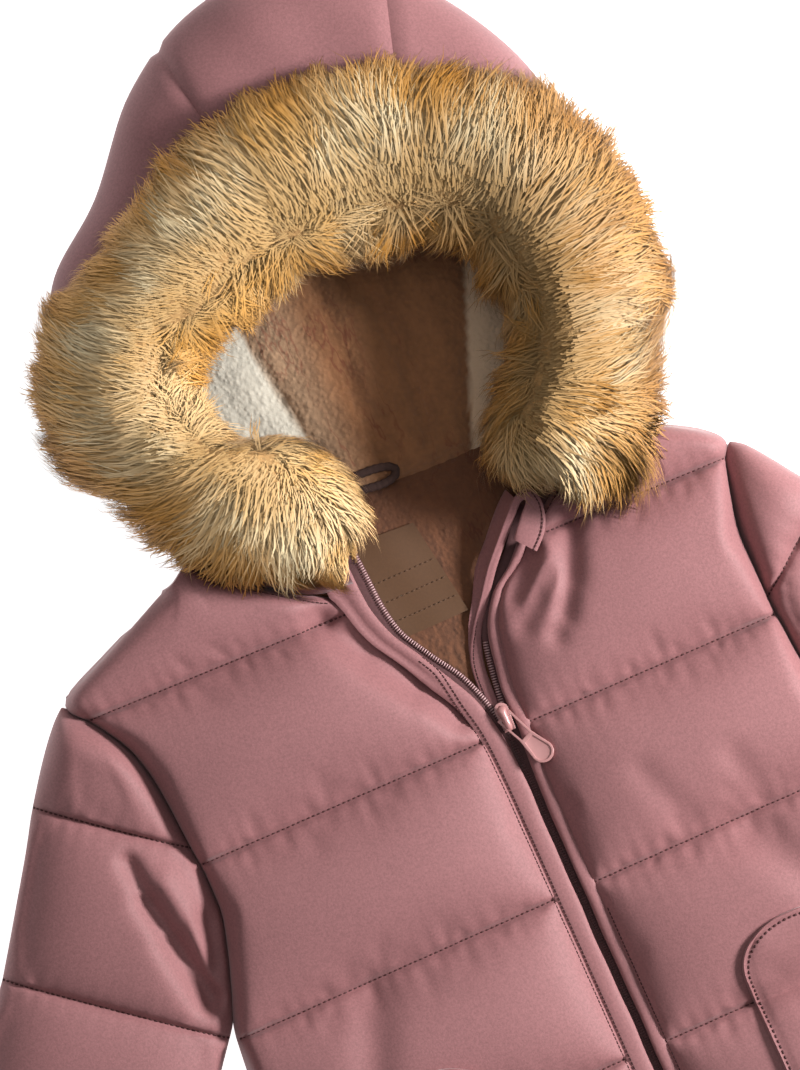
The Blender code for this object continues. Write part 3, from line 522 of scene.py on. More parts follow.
def front_top(side, x, row, folds=True):
    """Height of a front's outer cloth, as in the CAD."""
    y = row_height(x, row)
    to_side, to_neck = line_distance(x, y, SIDE_LINES[side]), line_distance(x, y, NECK_LINES[side])
    full = np.where(row <= HEM_STITCH_ROW, EDGE_THICKNESS + 2.0 + 4.0 * puff(row),
                    QUILT_THICKNESS + (PUFF_THICKNESS - QUILT_THICKNESS) * puff(row))
    to_placket = np.abs(x - front_edge[side](row))
    near = PLACKET_THICKNESS + (full - PLACKET_THICKNESS) * fall(to_placket, PLACKET_FALL)
    near = np.where(row > 147, full, near)
    at_arm = np.clip((row - UNDERARM_ROW) / 20.0, 0, 1) * np.clip((147.0 - row) / 15.0, 0, 1)
    edge = EDGE_THICKNESS + ARMHOLE_FULLNESS * at_arm * (near - EDGE_THICKNESS)
    thick = np.minimum(edge + (near - edge) * fall(to_side, SEAM_FALL),
                       EDGE_THICKNESS + (near - EDGE_THICKNESS) * fall(to_neck, SEAM_FALL))
    sunk = fold_depth(x, y) * fall(np.minimum(to_side, to_neck), SEAM_FALL) if folds else 0.0
    return FRONT_BASE + np.maximum(thick - sunk, EDGE_THICKNESS)


# %% Making, simulating and closing pieces
def grid_faces(rows, columns, closed=False):
    """Faces of a grid of points that are numbered row by row."""
    last = columns if closed else columns - 1
    row, column = np.meshgrid(np.arange(rows - 1), np.arange(last), indexing="ij")
    after = (column + 1) % columns
    faces = np.stack([row * columns + column, row * columns + after,
                      (row + 1) * columns + after, (row + 1) * columns + column], -1)
    return faces.reshape(-1, 4)


def add_piece(name, points, faces, finish, angle=None):
    """A mesh object from points in millimetres of the jacket's frame."""
    mesh = bpy.data.meshes.new(name)
    mesh.from_pydata(((np.asarray(points, float).reshape(-1, 3) - ORIGIN) * MM).tolist(), [],
                     [list(map(int, face)) for face in faces])
    mesh.update()
    mesh.shade_smooth()
    if angle:
        mesh.set_sharp_from_angle(angle=math.radians(angle))
    mesh.materials.append(finish)
    piece = bpy.data.objects.new(name, mesh)
    SCENE.collection.objects.link(piece)
    return piece


def points_of(piece):
    """A piece's points, in millimetres of the jacket's frame."""
    found = np.zeros(len(piece.data.vertices) * 3, np.float32)
    piece.data.vertices.foreach_get("co", found)
    return found.reshape(-1, 3).astype(float) / MM + ORIGIN


def set_points(piece, points):
    piece.data.vertices.foreach_set("co", (((points - ORIGIN) * MM).astype(np.float32)).ravel())
    piece.data.update()


def apply_modifiers(piece):
    """Turn a piece's modifiers into plain mesh."""
    made = bpy.data.meshes.new_from_object(piece.evaluated_get(bpy.context.evaluated_depsgraph_get()))
    piece.modifiers.clear()
    old, piece.data = piece.data, made
    made.name = piece.name
    bpy.data.meshes.remove(old)
    return piece


SIMULATION_SCALE = 10.0


def inflate(piece, held, growth, pressure, frames=24, bending=0.4, stiffness=15.0, reach=9.0):
    """Let air push the cloth out between its held points, with a little more cloth than room.

    Cloth is simulated ten times as large, which suits Blender's solver, and no point may
    move further than reach millimetres.
    """
    before = points_of(piece)
    piece.data.transform(Matrix.Scale(SIMULATION_SCALE, 4))
    group = piece.vertex_groups.new(name="held")
    group.add([int(index) for index in held], 1.0, "REPLACE")
    cloth = piece.modifiers.new("air", "CLOTH")
    settings = cloth.settings
    settings.quality = 6
    settings.mass = 0.15
    settings.tension_stiffness = settings.compression_stiffness = stiffness
    settings.shear_stiffness = stiffness / 3
    settings.bending_stiffness = bending
    settings.tension_damping = settings.compression_damping = 8.0
    settings.air_damping = 2.0
    settings.use_pressure = True
    settings.uniform_pressure_force = pressure
    settings.vertex_group_mass = "held"
    settings.shrink_min = -growth
    settings.effector_weights.gravity = 0.0
    cloth.point_cache.frame_start, cloth.point_cache.frame_end = 1, frames
    SCENE.frame_start, SCENE.frame_end = 1, frames
    for step in range(1, frames + 1):
        SCENE.frame_set(step)
    apply_modifiers(piece)
    SCENE.frame_set(1)
    piece.vertex_groups.clear()
    piece.data.transform(Matrix.Scale(1 / SIMULATION_SCALE, 4))
    after = points_of(piece)
    moved = after - before
    length = np.linalg.norm(moved, axis=1, keepdims=True)
    set_points(piece, before + moved * np.minimum(1.0, reach / np.maximum(length, 1e-9)))
    print(f"{piece.name}: cloth moved {length.mean():.1f} mm on average, {length.max():.1f} at most,"
          f" {time.time() - START:.0f} s")
    return piece


def subdivide(piece, levels=1):
    modifier = piece.modifiers.new("smooth", "SUBSURF")
    modifier.levels = modifier.render_levels = levels
    modifier.boundary_smooth = "PRESERVE_CORNERS"
    return apply_modifiers(piece)


SEAM_FLARE = 0.9


def close_below(piece, base, flare=0.0):
    """Close an open sheet with a wall all round and one flat face at a height.

    The wall leans out by flare: that is the seam allowance, which passes under the next piece.
    """
    work = bmesh.new()
    work.from_mesh(piece.data)
    rim = [edge for edge in work.edges if edge.is_boundary]
    away = {}
    for edge in rim:
        across = (edge.verts[1].co - edge.verts[0].co).cross(Vector((0, 0, 1))).normalized()
        if across.dot(edge.link_faces[0].calc_center_median() - edge.verts[0].co) > 0:
            across.negate()
        for corner in edge.verts:
            away[corner.index] = away.get(corner.index, Vector()) + across
    made = bmesh.ops.extrude_edge_only(work, edges=rim)["geom"]
    for edge in (item for item in made if isinstance(item, bmesh.types.BMEdge)):
        edge.tag = True
    for corner in (item for item in made if isinstance(item, bmesh.types.BMVert)):
        upper = next(edge.other_vert(corner) for edge in corner.link_edges
                     if not edge.tag)
        corner.co += away[upper.index].normalized() * flare * MM
        corner.co.z = base * MM
    bmesh.ops.contextual_create(work, geom=[item for item in made if isinstance(item, bmesh.types.BMEdge)])
    bmesh.ops.recalc_face_normals(work, faces=work.faces)
    work.to_mesh(piece.data)
    work.free()
    piece.data.shade_smooth()
    piece.data.set_sharp_from_angle(angle=math.radians(60))
    return piece


# %% [markdown]
# ## Fronts
# Each front is two layers of shell cloth with wadding between, sewn through along the
# quilting lines. The outer layer has a little more cloth than the room it covers, which is
# what makes the small puckers beside the stitches. So the sheet is held along its edges and
# quilting lines, grown by less than one per cent, and blown up with Blender's cloth.

# %% Fronts
CELL = 3.0
ROW_EASE = 0.72
QUILT_GROWTH = 0.008
SLEEVE_GROWTH = 0.001
SLEEVE_PRESSURE = 0.5
QUILT_PRESSURE = 1.2
QUILT_BENDING = 2.0
PUCKER_WAVE = 7.0
PUCKER_DEPTH = 0.42
PUCKER_REACH = 6.0
CREASE_DEPTH = 1.1
CREASE_WIDTH = 1.0


def fine_rows(low, high, fixed, cell=CELL):
    """Rows from low to high about a cell apart that pass through every fixed row."""
    stops = [low] + [row for row in fixed if low < row < high] + [high]
    rows = []
    for a, b in zip(stops, stops[1:]):
        share = np.linspace(0, 1, max(2, round((b - a) / cell)) + 1)[:-1]
        rows.append(a + (b - a) * (share - ROW_EASE * np.sin(2 * math.pi * share) / (2 * math.pi)))
    return np.concatenate(rows + [[high]])


def quilt_detail(distance, along, seed):
    """The thin crease under a row of stitches, and the small puckers that run away from it."""
    wave = 2 * math.pi * along / PUCKER_WAVE + 2.6 * ripple(along, distance * 0.0, 37.0, seed)
    strength = 0.55 + 0.45 * ripple(along, distance * 0.0, 23.0, seed + 1.0)
    puckers = PUCKER_DEPTH * np.sin(wave) * strength * np.exp(-distance / PUCKER_REACH)
    return puckers * np.clip(distance / 1.5, 0, 1) - CREASE_DEPTH * np.exp(-(distance / CREASE_WIDTH) ** 2)


def body_row(x, y):
    """The row a point lies on: row_height the other way round."""
    row = y
    for turn in range(3):
        row = y + row - row_height(x, row)
    return row


def front_sheet(node, side):
    rows = fine_rows(HEM_ROW, NECK_ROW, (HEM_STITCH_ROW,) + QUILT_ROWS)
    shares = np.linspace(0.0, 1.0, 50)
    inner, outer = front_edge[side](rows)[:, None], body_edge[side](rows)[:, None]
    x = inner + shares * (outer - inner)
    row = np.repeat(rows[:, None], len(shares), 1)
    z = front_top(side, x, row, folds=False)
    points = np.stack([x, row_height(x, row), z], -1)
    on_line = np.isin(rows, (HEM_STITCH_ROW,) + QUILT_ROWS)
    held = np.zeros(x.shape, bool)
    held[on_line], held[0], held[-1], held[:, 0], held[:, -1] = True, True, True, True, True
    faces = grid_faces(*x.shape)
    if side == "right":
        faces = faces[:, ::-1]
    piece = add_piece(node + "_cloth", points, faces, SHELL)
    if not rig.quick():
        inflate(piece, np.flatnonzero(held), growth=QUILT_GROWTH, pressure=QUILT_PRESSURE, reach=7.0,
                bending=QUILT_BENDING)
    subdivide(piece)
    spots = points_of(piece)
    row = body_row(spots[:, 0], spots[:, 1])
    to_line = np.abs(row[:, None] - np.array((HEM_STITCH_ROW,) + QUILT_ROWS)).min(1)
    if side == "right":
        spots[:, 1] += 6.0 * np.exp(-((spots[:, 0] + 84) / 7) ** 2) * np.clip((row - 164) / 12, 0, 1)
    spots[:, 2] += quilt_detail(to_line, spots[:, 0], 0.5 if side == "right" else 2.5)
    spots[:, 2] -= fold_depth(spots[:, 0], spots[:, 1])
    spots[:, 2] = np.maximum(spots[:, 2], FRONT_BASE + EDGE_THICKNESS - 1.5)
    set_points(piece, spots)
    close_below(piece, FRONT_BASE, flare=SEAM_FLARE)
    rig.ride(piece, "root")
    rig.replaces(piece, node)
    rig.slot(piece, "shell_cloth")
    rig.padded(piece, fill=0.6)
    return piece


def build_fronts():
    for side in ("right", "left"):
        made = front_sheet("front_" + side, side)
        print(made.name, len(made.data.polygons), "faces")


build_fronts()

# %% [markdown]
# ## Sleeves
# A sleeve is a padded tube pressed flat: the upper layer puffs between its quilting rings,
# the lower one lies on the surface. The shape comes from the armhole curve of the body.

# %% Sleeve shape
SLEEVE_LENGTH = 290.0
SLEEVE_MIDDLE = 8.15
SLEEVE_QUILT_TOP = 11.0
SLEEVE_PUFF_TOP = 20.0
SLEEVE_LEAN = math.radians(38.5)
CUFF_HEM = 14.0
SLEEVE_TABLES = {
    "right": (((0, 0), (9, -1.8), (21, -2.4), (41, -1.8), (62, 0.8), (89, 2.7), (112, 3.8), (182, 6),
               (252, 7.5), (290, 8)), ((112, 98.5), (182, 97), (252, 95), (290, 94)), 150.0),
    "left": (((0, 0), (9, -2.6), (23, -2.2), (36, -1.4), (60, -3), (89, -6), (112, -8), (182, -8.5),
              (252, -7), (290, -6)), ((112, 81.5), (182, 82), (252, 81), (290, 81)), 147.0)}


class Sleeve:
    """The flattened tube of one sleeve: points at a distance along it and a share across it."""

    def __init__(self, side):
        top, under, tip_row = SLEEVE_TABLES[side]
        towards = -1.0 if side == "right" else 1.0
        tip_x = float(body_edge[side](tip_row))
        self.side = side
        self.tip = np.array((tip_x, float(row_height(tip_x, tip_row))))
        self.along = np.array((towards * math.sin(SLEEVE_LEAN), -math.cos(SLEEVE_LEAN)))
        self.across = np.array((-towards * math.cos(SLEEVE_LEAN), -math.sin(SLEEVE_LEAN)))
        rows = np.linspace(tip_row - 0.5, UNDERARM_ROW, 80)
        x = body_edge[side](rows)
        offset = np.stack([x, row_height(x, rows)], 1) - self.tip
        distance, seam = offset @ self.along, offset @ self.across
        order = np.argsort(distance)
        self.arm_distance, self.arm_under = distance[order], seam[order] - 0.45
        self.underarm = float(self.arm_distance[-1])
        line_x = float(body_edge[side](77.0))
        line = np.array((line_x, float(row_height(line_x, 77.0)))) - self.tip
        self.first_line = float(line @ self.along)
        self.top, self.table_under = smooth_curve(top), smooth_curve(under)

    def lines(self):
        found = self.first_line + QUILT_PITCH * np.arange(4)
        return [line for line in found if line < SLEEVE_LENGTH - 5]

    def under(self, distance):
        blend = np.clip((distance - self.underarm) / 6.0, 0.0, 1.0)
        arm = np.interp(distance, self.arm_distance, self.arm_under)
        return arm * (1 - blend) + self.table_under(distance) * blend

    def full(self, distance):
        share = ((distance - self.first_line) / QUILT_PITCH) % 1.0
        rise = np.maximum(0.0, 4 * share * (1 - share)) ** 0.42
        cuff = np.clip((SLEEVE_LENGTH - distance) / CUFF_HEM, 0.0, 1.0)
        hem = 0.55 * np.sqrt(np.maximum(0.0, 4 * cuff * (1 - cuff)))
        near = np.clip((SLEEVE_LENGTH - CUFF_HEM - distance) / 16.0, 0.0, 1.0)
        rise = np.where(distance > SLEEVE_LENGTH - CUFF_HEM, hem, rise * np.sqrt(1 - (1 - near) ** 2))
        return SLEEVE_QUILT_TOP + (SLEEVE_PUFF_TOP - SLEEVE_QUILT_TOP) * rise

    def points(self, distance, share, upper, folds=True, inset=0.0):
        """Points of the tube; upper is 1 on the upper layer and -1 on the lower one."""
        top, under = self.top(distance), self.under(distance)
        over = top + (inset + (1 - 2 * inset) * share) * (under - top)
        spot = self.tip + distance[..., None] * self.along + over[..., None] * self.across
        bulge = np.sqrt(np.maximum(0.0, 1 - np.abs(2 * share - 1) ** 2.7))
        seam = line_distance(spot[..., 0], spot[..., 1], SIDE_LINES[self.side])
        thin = np.minimum(1.0, 0.5 + 0.5 * fall(seam, SEAM_FALL))
        lift = self.full(distance) * bulge * thin * np.minimum(1.0, (under - top) / 40.0)
        if folds:
            lift = np.maximum(lift - fold_depth(spot[..., 0], spot[..., 1]) * bulge, 0.0)
        low = -np.minimum(SLEEVE_MIDDLE, SLEEVE_MIDDLE * 1.5 * bulge)
        z = SLEEVE_MIDDLE + np.where(upper > 0, lift, low)
        return np.concatenate([spot, z[..., None]], -1)


SLEEVES = {side: Sleeve(side) for side in ("right", "left")}
SLEEVE_AROUND = 64
CUFF_DEPTH = 24.0


# %% Sleeves
def sleeve_cloth(side):
    sleeve = SLEEVES[side]
    stops = sleeve.lines() + [SLEEVE_LENGTH - CUFF_HEM]
    distance = fine_rows(2.0, SLEEVE_LENGTH, stops, 3.4)
    angle = np.arange(SLEEVE_AROUND) * 2 * math.pi / SLEEVE_AROUND
    share = (1 - np.cos(angle)) / 2
    upper = np.where(np.sin(angle) >= -1e-9, 1, -1)
    upper[SLEEVE_AROUND // 2] = 1
    along, across = np.meshgrid(distance, share, indexing="ij")
    side_up = np.broadcast_to(upper, along.shape)
    outer = sleeve.points(along, across, side_up, folds=False)
    rows, columns = along.shape
    on_line = np.isin(distance, stops)
    held = np.zeros(along.shape, bool)
    held[on_line], held[0], held[-1] = True, True, True
    held |= (side_up < 0) & (np.abs(2 * across - 1) < 0.8)
    held |= (across > 0.985) & (along < sleeve.underarm + 8)
    faces = grid_faces(rows, columns, closed=True)
    if side == "left":
        faces = faces[:, ::-1]
    piece = add_piece("sleeve_" + side + "_cloth", outer, faces, SHELL)
    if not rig.quick():
        inflate(piece, np.flatnonzero(held), growth=SLEEVE_GROWTH, pressure=SLEEVE_PRESSURE, reach=1.2,
                bending=QUILT_BENDING)
    subdivide(piece)
    spots = points_of(piece)
    offset = spots[:, :2] - sleeve.tip
    to_line = np.abs((offset @ sleeve.along)[:, None] - np.array(stops)).min(1)
    above = np.clip((spots[:, 2] - SLEEVE_MIDDLE) / 6.0, 0, 1)
    spots[:, 2] += above * quilt_detail(to_line, offset @ sleeve.across, 4.5 if side == "right" else 6.5)
    high = spots[:, 2] > SLEEVE_MIDDLE + 2
    sunk = fold_depth(spots[:, 0], spots[:, 1]) * np.clip((spots[:, 2] - SLEEVE_MIDDLE) / 8.0, 0, 1)
    spots[:, 2] = np.maximum(spots[:, 2] - np.where(high, sunk, 0.0), 0.0)
    set_points(piece, spots)
    close_sleeve(piece, sleeve)
    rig.ride(piece, "root")
    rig.replaces(piece, "sleeve_" + side)
    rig.slot(piece, "shell_cloth")
    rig.padded(piece, fill=0.55)
    return piece


def close_sleeve(piece, sleeve):
    """Close the armhole end with a face, and turn the cuff's edge into the sleeve."""
    work = bmesh.new()
    work.from_mesh(piece.data)
    away = Vector((*sleeve.along, 0.0))
    origin = Vector((np.array((*sleeve.tip, 0.0)) - ORIGIN) * MM)
    rims = {"cuff": [], "arm": []}
    for edge in work.edges:
        if edge.is_boundary:
            middle = (edge.verts[0].co + edge.verts[1].co) / 2 - origin
            rims["cuff" if middle.dot(away) > 0.1 else "arm"].append(edge)
    bmesh.ops.contextual_create(work, geom=rims["arm"])
    rim = rims["cuff"]
    for depth, flat in ((0.0, 0.8), (-CUFF_DEPTH * 0.4, 0.5), (-CUFF_DEPTH, 0.1)):
        made = bmesh.ops.extrude_edge_only(work, edges=rim)["geom"]
        corners = [item for item in made if isinstance(item, bmesh.types.BMVert)]
        middle = sum((corner.co for corner in corners), Vector()) / len(corners)
        for corner in corners:
            offset = corner.co - middle
            flat_part = Vector((offset.x, offset.y, 0.0)) * (0.985 if depth == 0.0 else 0.96)
            corner.co = middle + flat_part + Vector((0, 0, offset.z * flat)) + away * depth * MM
        rim = [item for item in made if isinstance(item, bmesh.types.BMEdge)]
    bmesh.ops.contextual_create(work, geom=rim)
    bmesh.ops.recalc_face_normals(work, faces=work.faces)
    work.to_mesh(piece.data)
    work.free()
    piece.data.shade_smooth()
    piece.data.set_sharp_from_angle(angle=math.radians(60))


for side in ("right", "left"):
    made = sleeve_cloth(side)
    print(made.name, len(made.data.polygons), "faces")

# %% [markdown]
# ## Back
# The back lies on the surface, so its channels are pressed flat and only the quilting lines
# stay open as shallow grooves.

# %% Back
BACK_EDGE_LIFT = 4.0
BACK_EDGE_FALL = 14.0
QUILT_GROOVE = 2.5


def back_cloth():
    rows = fine_rows(HEM_ROW, NECK_ROW, (HEM_STITCH_ROW,) + QUILT_ROWS, 3.5)
    shares = np.linspace(0.0, 1.0, 100)
    right, left = body_edge["right"](rows)[:, None], body_edge["left"](rows)[:, None]
    x = right + shares * (left - right)
    row = np.repeat(rows[:, None], len(shares), 1)
    y = row_height(x, row)
    to_seam = np.minimum(line_distance(x, y, SIDE_LINES["right"]), line_distance(x, y, SIDE_LINES["left"]))
    quilted = (row >= HEM_STITCH_ROW) & (row < 150)
    pucker = 1 + 0.5 * ripple(x * 2.2, y * 0.3, 23.0)
    groove = np.where(quilted, QUILT_GROOVE * np.maximum(0.0, 1 - puff(row) / 0.8) * pucker, 0.0)
    lift = BACK_EDGE_LIFT * (1 - fall(to_seam, BACK_EDGE_FALL))
    points = np.stack([x, y, np.maximum(groove, lift)], -1)
    piece = add_piece("back_panel_cloth", points, grid_faces(*x.shape)[:, ::-1], SHELL)
    close_below(piece, BACK_THICKNESS)
    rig.ride(piece, "root")
    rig.replaces(piece, "back_panel")
    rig.slot(piece, "shell_cloth")
    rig.padded(piece, fill=0.5)
    return piece


back_cloth()

# %% [markdown]
# ## Hood
# The hood is three panels: two sides and a centre strip over the crown. Lying flat, each
# panel rises from the front edge, rolls over the outer fold and returns beneath. A table of
# stations round the front edge gives the section at every place, as in the CAD.

# %% Hood stations
HOOD_THICKNESS = 6.0
LIMB_THICKNESS = 3.5
LINING_GAP = 0.9
LINING_THICKNESS = 1.5
FLOOR_TOP = HOOD_THICKNESS + LINING_GAP + LINING_THICKNESS
Station = namedtuple("Station", "inner_x inner_y outer_x outer_y rim edge_x edge_y rim_z edge_z")
RIGHT_LIMB = ((-20, 162, -34, 151, 0.4, -26, 148.4, 24, 15.5), (-8, 174, -57, 167, 0.3, -44, 152, 27, 16),
              (-7, 184, -76, 178, 0.25, -78, 175.8, 31, 16))
MAIN_RING = ((-7, 190, -84, 184, 0.22, -85, 181, 32, 12), (-16, 208, -99, 210, 0.16, -93, 206, 35, 14),
             (-42, 218, -109, 235, 0.12, -99, 236, 37, 15), (-51, 238, -113, 262, 0.10, -102, 268, 38, 16),
             (-42, 254, -99, 297, 0.10, -88, 306, 39, 17), (-22, 261, -66, 314, 0.10, -58, 331, 40, 18),
             (-4, 268, -25, 331, 0.10, -28, 364, 40, 19), (14, 267, 12, 340, 0.10, 8, 384, 40, 20),
             (35, 264, 50, 337, 0.10, 50, 386, 40, 20), (54, 260, 88, 320, 0.10, 92, 360, 40, 19),
             (67, 253, 124, 293, 0.10, 120, 316, 39, 17), (69, 237, 140, 257, 0.10, 129, 268, 38, 16),
             (71, 219, 140, 222, 0.10, 128, 230, 37, 15), (62, 200, 130, 193, 0.14, 119, 198, 35, 14),
             (46, 188, 116, 166, 0.20, 89, 172, 32, 12))
LEFT_LIMB = ((45, 183, 106, 157, 0.30, 80, 165.5, 31, 16), (43, 176, 96, 148, 0.35, 74, 160, 29, 16),
             (48, 162, 70, 151, 0.5, 63, 153, 26, 15.5))
RING_STEPS = 10
PANEL_SEAMS = (65, 88)  # steps along the ring to the two seams of the centre panel
LIMB_STEPS = 8


def smooth_rows(table, steps):
    """Catmull-Rom curve through every column of a table."""
    rows = np.array(table, float)
    ends = np.concatenate([rows[:1], rows, rows[-1:]])
    t = (np.arange(steps) / steps)[:, None]
    made = [0.5 * (2 * b + (c - a) * t + (2 * a - 5 * b + 4 * c - d) * t ** 2
                   + (3 * b - a - 3 * c + d) * t ** 3)
            for a, b, c, d in zip(ends, ends[1:], ends[2:], ends[3:])]
    return np.concatenate(made + [rows[-1:]])


def smooth_stations(table, steps):
    return [Station(*row) for row in smooth_rows(table, steps)]


def smooth_line(points, count):
    """Evenly spaced points on a smooth curve through a few points."""
    points = np.array(points, float)
    ends = np.concatenate([points[:1], points, points[-1:]])
    t = np.linspace(0, 1, 9)[:-1, None]
    fine = np.concatenate([0.5 * (2 * b + (c - a) * t + (2 * a - 5 * b + 4 * c - d) * t ** 2
                                  + (3 * b - a - 3 * c + d) * t ** 3)
                           for a, b, c, d in zip(ends, ends[1:], ends[2:], ends[3:])] + [points[-1:]])
    length = np.concatenate([[0], np.cumsum(np.linalg.norm(np.diff(fine, axis=0), axis=1))])
    even = np.linspace(0, length[-1], count)
    return np.stack([np.interp(even, length, fine[:, axis]) for axis in range(points.shape[1])], 1)


def hood_section(at, limb):
    """The hood's front edge at a station, its direction outwards, and the section's points."""
    rim = np.array((at.inner_x, at.inner_y)) * (1 - at.rim) + np.array((at.outer_x, at.outer_y)) * at.rim
    edge = np.array((at.edge_x, at.edge_y))
    reach = float(np.linalg.norm(edge - rim))
    crest = at.rim_z + (2.0 if limb else 5.0)
    rise = crest - at.edge_z
    profile = [(0.0, at.rim_z), (0.18, crest - 1.0), (0.4, crest), (0.65, crest - 0.2 * rise),
               (0.87, at.edge_z + 0.5 * rise), (1.0, at.edge_z)]
    if limb:
        profile += [(1.0, at.edge_z - 1.5), (1.0, at.edge_z - 3.0)]
    else:
        tuck = min(1.5 * at.edge_z - 8.0, 0.4 * reach)
        profile += [(1.0 - 0.25 * tuck / reach, 4.0), (1.0 - tuck / reach, 0.0)]
    return rim, (edge - rim) / reach, [(share * reach, z) for share, z in profile]


def offset_line(line, distance):
    """A section's points moved into the hood, square to the section."""
    step = np.gradient(line, axis=0)
    step /= np.linalg.norm(step, axis=1, keepdims=True)
    return line + np.stack([step[:, 1], -step[:, 0]], 1) * np.reshape(distance, (-1, 1))


SECTION_POINTS = 36


def hood_layer(stations, distance, wave=0.0):
    """A face of the hood at a depth below its outer cloth, as a grid of points."""
    grid = []
    for index, (at, limb) in enumerate(stations):
        rim, out, profile = hood_section(at, limb)
        line = smooth_line(profile, SECTION_POINTS)
        line[:, 1] = np.maximum(line[:, 1], 0.0)
        depth = distance[index] if np.ndim(distance) else distance
        if limb and depth > 1:
            depth = min(LIMB_THICKNESS, 0.16 * profile[5][0])
        moved = offset_line(line, depth) if depth else line
        if depth and not limb:
            moved[-1] = (line[-1, 0] - 0.4 * depth, depth)
        elif depth:
            moved[-1, 1] = line[-1, 1]
        spots = rim + out * moved[:, :1]
        unevenness = wave * ripple(spots[:, 0], spots[:, 1], 38.0, 1.0) * np.sin(
            np.linspace(0, math.pi, len(line)))
        grid.append(np.concatenate([spots, (moved[:, 1] + unevenness)[:, None]], 1))
    return np.array(grid)


RING = ([(at, True) for at in smooth_stations(RIGHT_LIMB, LIMB_STEPS)]
        + [(at, False) for at in smooth_stations(MAIN_RING, RING_STEPS)]
        + [(at, True) for at in smooth_stations(LEFT_LIMB, LIMB_STEPS)])
FIRST_MAIN = LIMB_STEPS * (len(RIGHT_LIMB) - 1) + 1
print(len(RING), "stations round the hood")


# %% Hood shell
def walled(name, outside, inside, finish, floor=None, angle=50):
    """A wall between two grids of points, with a floor polygon where one is given."""
    rows, columns = outside.shape[:2]
    half = rows * columns
    points = [outside.reshape(-1, 3), inside.reshape(-1, 3)]
    faces = grid_faces(rows, columns).tolist()
    faces += [[half + index for index in reversed(face)] for face in grid_faces(rows, columns).tolist()]
    foot = [row * columns + columns - 1 for row in range(rows)]
    borders = [[row * columns for row in range(rows)], list(range(columns)),
               [(rows - 1) * columns + column for column in range(columns)]]
    if floor:
        low, high, corners, base, top = floor
        far_out = [(x, y, base) for x, y in corners]
        far_in = [(x, y, top) for x, y in corners]
        far = [2 * half + index for index in range(len(corners))]
        points += [np.array(far_out), np.array(far_in)]
        borders += [foot[:low + 1], foot[high:]]
        run = foot[low:high + 1]
        faces += [run + far, [half + i for i in run] + [i + len(far) for i in far]]
        outer = [run[-1]] + far + [run[0]]
        inner = [half + run[-1]] + [i + len(far) for i in far] + [half + run[0]]
        faces += [[a, b, d, c] for a, b, c, d in zip(outer, outer[1:], inner, inner[1:])]
    else:
        borders.append(foot)
    for border in borders:
        faces += [[a, b, half + b, half + a] for a, b in zip(border, border[1:])]
    piece = add_piece(name, np.concatenate(points), faces, finish)
    work = bmesh.new()
    work.from_mesh(piece.data)
    bmesh.ops.recalc_face_normals(work, faces=work.faces)
    work.to_mesh(piece.data)
    work.free()
    piece.data.shade_smooth()
    piece.data.set_sharp_from_angle(angle=math.radians(angle))
    return piece


def neck_points(xs):
    return [(x, float(row_height(x, NECK_ROW)) + 2 * SEAM_GAP) for x in xs]


def hood_shell():
    seams = [0, FIRST_MAIN + PANEL_SEAMS[0], FIRST_MAIN + PANEL_SEAMS[1], len(RING) - 1]
    necks = (np.linspace(-22, -80, 9), np.linspace(58, -21.4, 12), np.linspace(76, 58.6, 4))
    for name, low, high, neck in zip(("hood_side_right", "hood_centre", "hood_side_left"), seams,
                                     seams[1:], necks):
        chosen = RING[low:high + 1]
        edges = np.array([(at.edge_x, at.edge_y) for at, limb in chosen])
        along = np.concatenate([[0], np.cumsum(np.linalg.norm(np.diff(edges, axis=0), axis=1))])
        to_seam = np.full(len(chosen), 99.0)
        if low:
            to_seam = np.minimum(to_seam, along)
        if high < len(RING) - 1:
            to_seam = np.minimum(to_seam, along[-1] - along)
        sink = 1.6 * (1 - fall(to_seam, 5.0)) + 1e-6
        outside = hood_layer(chosen, sink, wave=1.6)
        inside = hood_layer(chosen, HOOD_THICKNESS)
        for grid in (outside, inside):
            for end, neighbour, seam in ((0, 1, low > 0), (-1, -2, high < len(RING) - 1)):
                if seam:
                    step = grid[neighbour] - grid[end]
                    grid[end] -= step / np.linalg.norm(step, axis=1, keepdims=True) * 0.1
        outside[..., 2] = np.maximum(outside[..., 2], 0.0)
        main = [index for index, (at, limb) in enumerate(chosen) if not limb]
        floor = (main[0], main[-1], neck_points(neck), 0.0, float(inside[main[0]][-1][2]))
        piece = walled(name + "_cloth", outside, inside, SHELL, floor)
        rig.ride(piece, "root")
        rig.replaces(piece, name)
        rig.slot(piece, "shell_cloth")
        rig.padded(piece, fill=0.4)
        print(piece.name, len(piece.data.polygons), "faces")


hood_shell()

# %% [markdown]
# ## Pile lining
# The hood and the back are lined with a curly pile, cream at the hood's sides and pinkish
# beige in its centre. Pile is small soft lumps, so real relief carries the larger ones and a
# bump the curls.

# %% Pile material
CREAM = (0.56, 0.51, 0.42)
# a warmer copy of the cream: painted warm shade for the hood's right side
CREAM_WITH_PAINTED_WARM_SHADE = (0.60, 0.43, 0.29)
# two copies of the centre's beige: a paler one as painted light where the key lamp falls, a darker, redder one as
# painted shade
BEIGE_WITH_PAINTED_LIGHT = (0.40, 0.24, 0.135)
BEIGE_WITH_PAINTED_SHADE = (0.33, 0.14, 0.056)
# the neck's beige, made dark and red as painted shade over the deep neck
NECK_BEIGE_PAINTED_SHADE = (0.165, 0.058, 0.022)
# where the cream sides meet the beige centre, as lines of x at two heights
SEAM_RIGHT = ((-19.0, 205.0), (-27.0, 262.0))
SEAM_LEFT = ((45.0, 192.0), (68.0, 250.0))


def seam_x(seam, y):
    (x0, y0), (x1, y1) = seam
    return x0 + (x1 - x0) * (y - y0) / (y1 - y0)


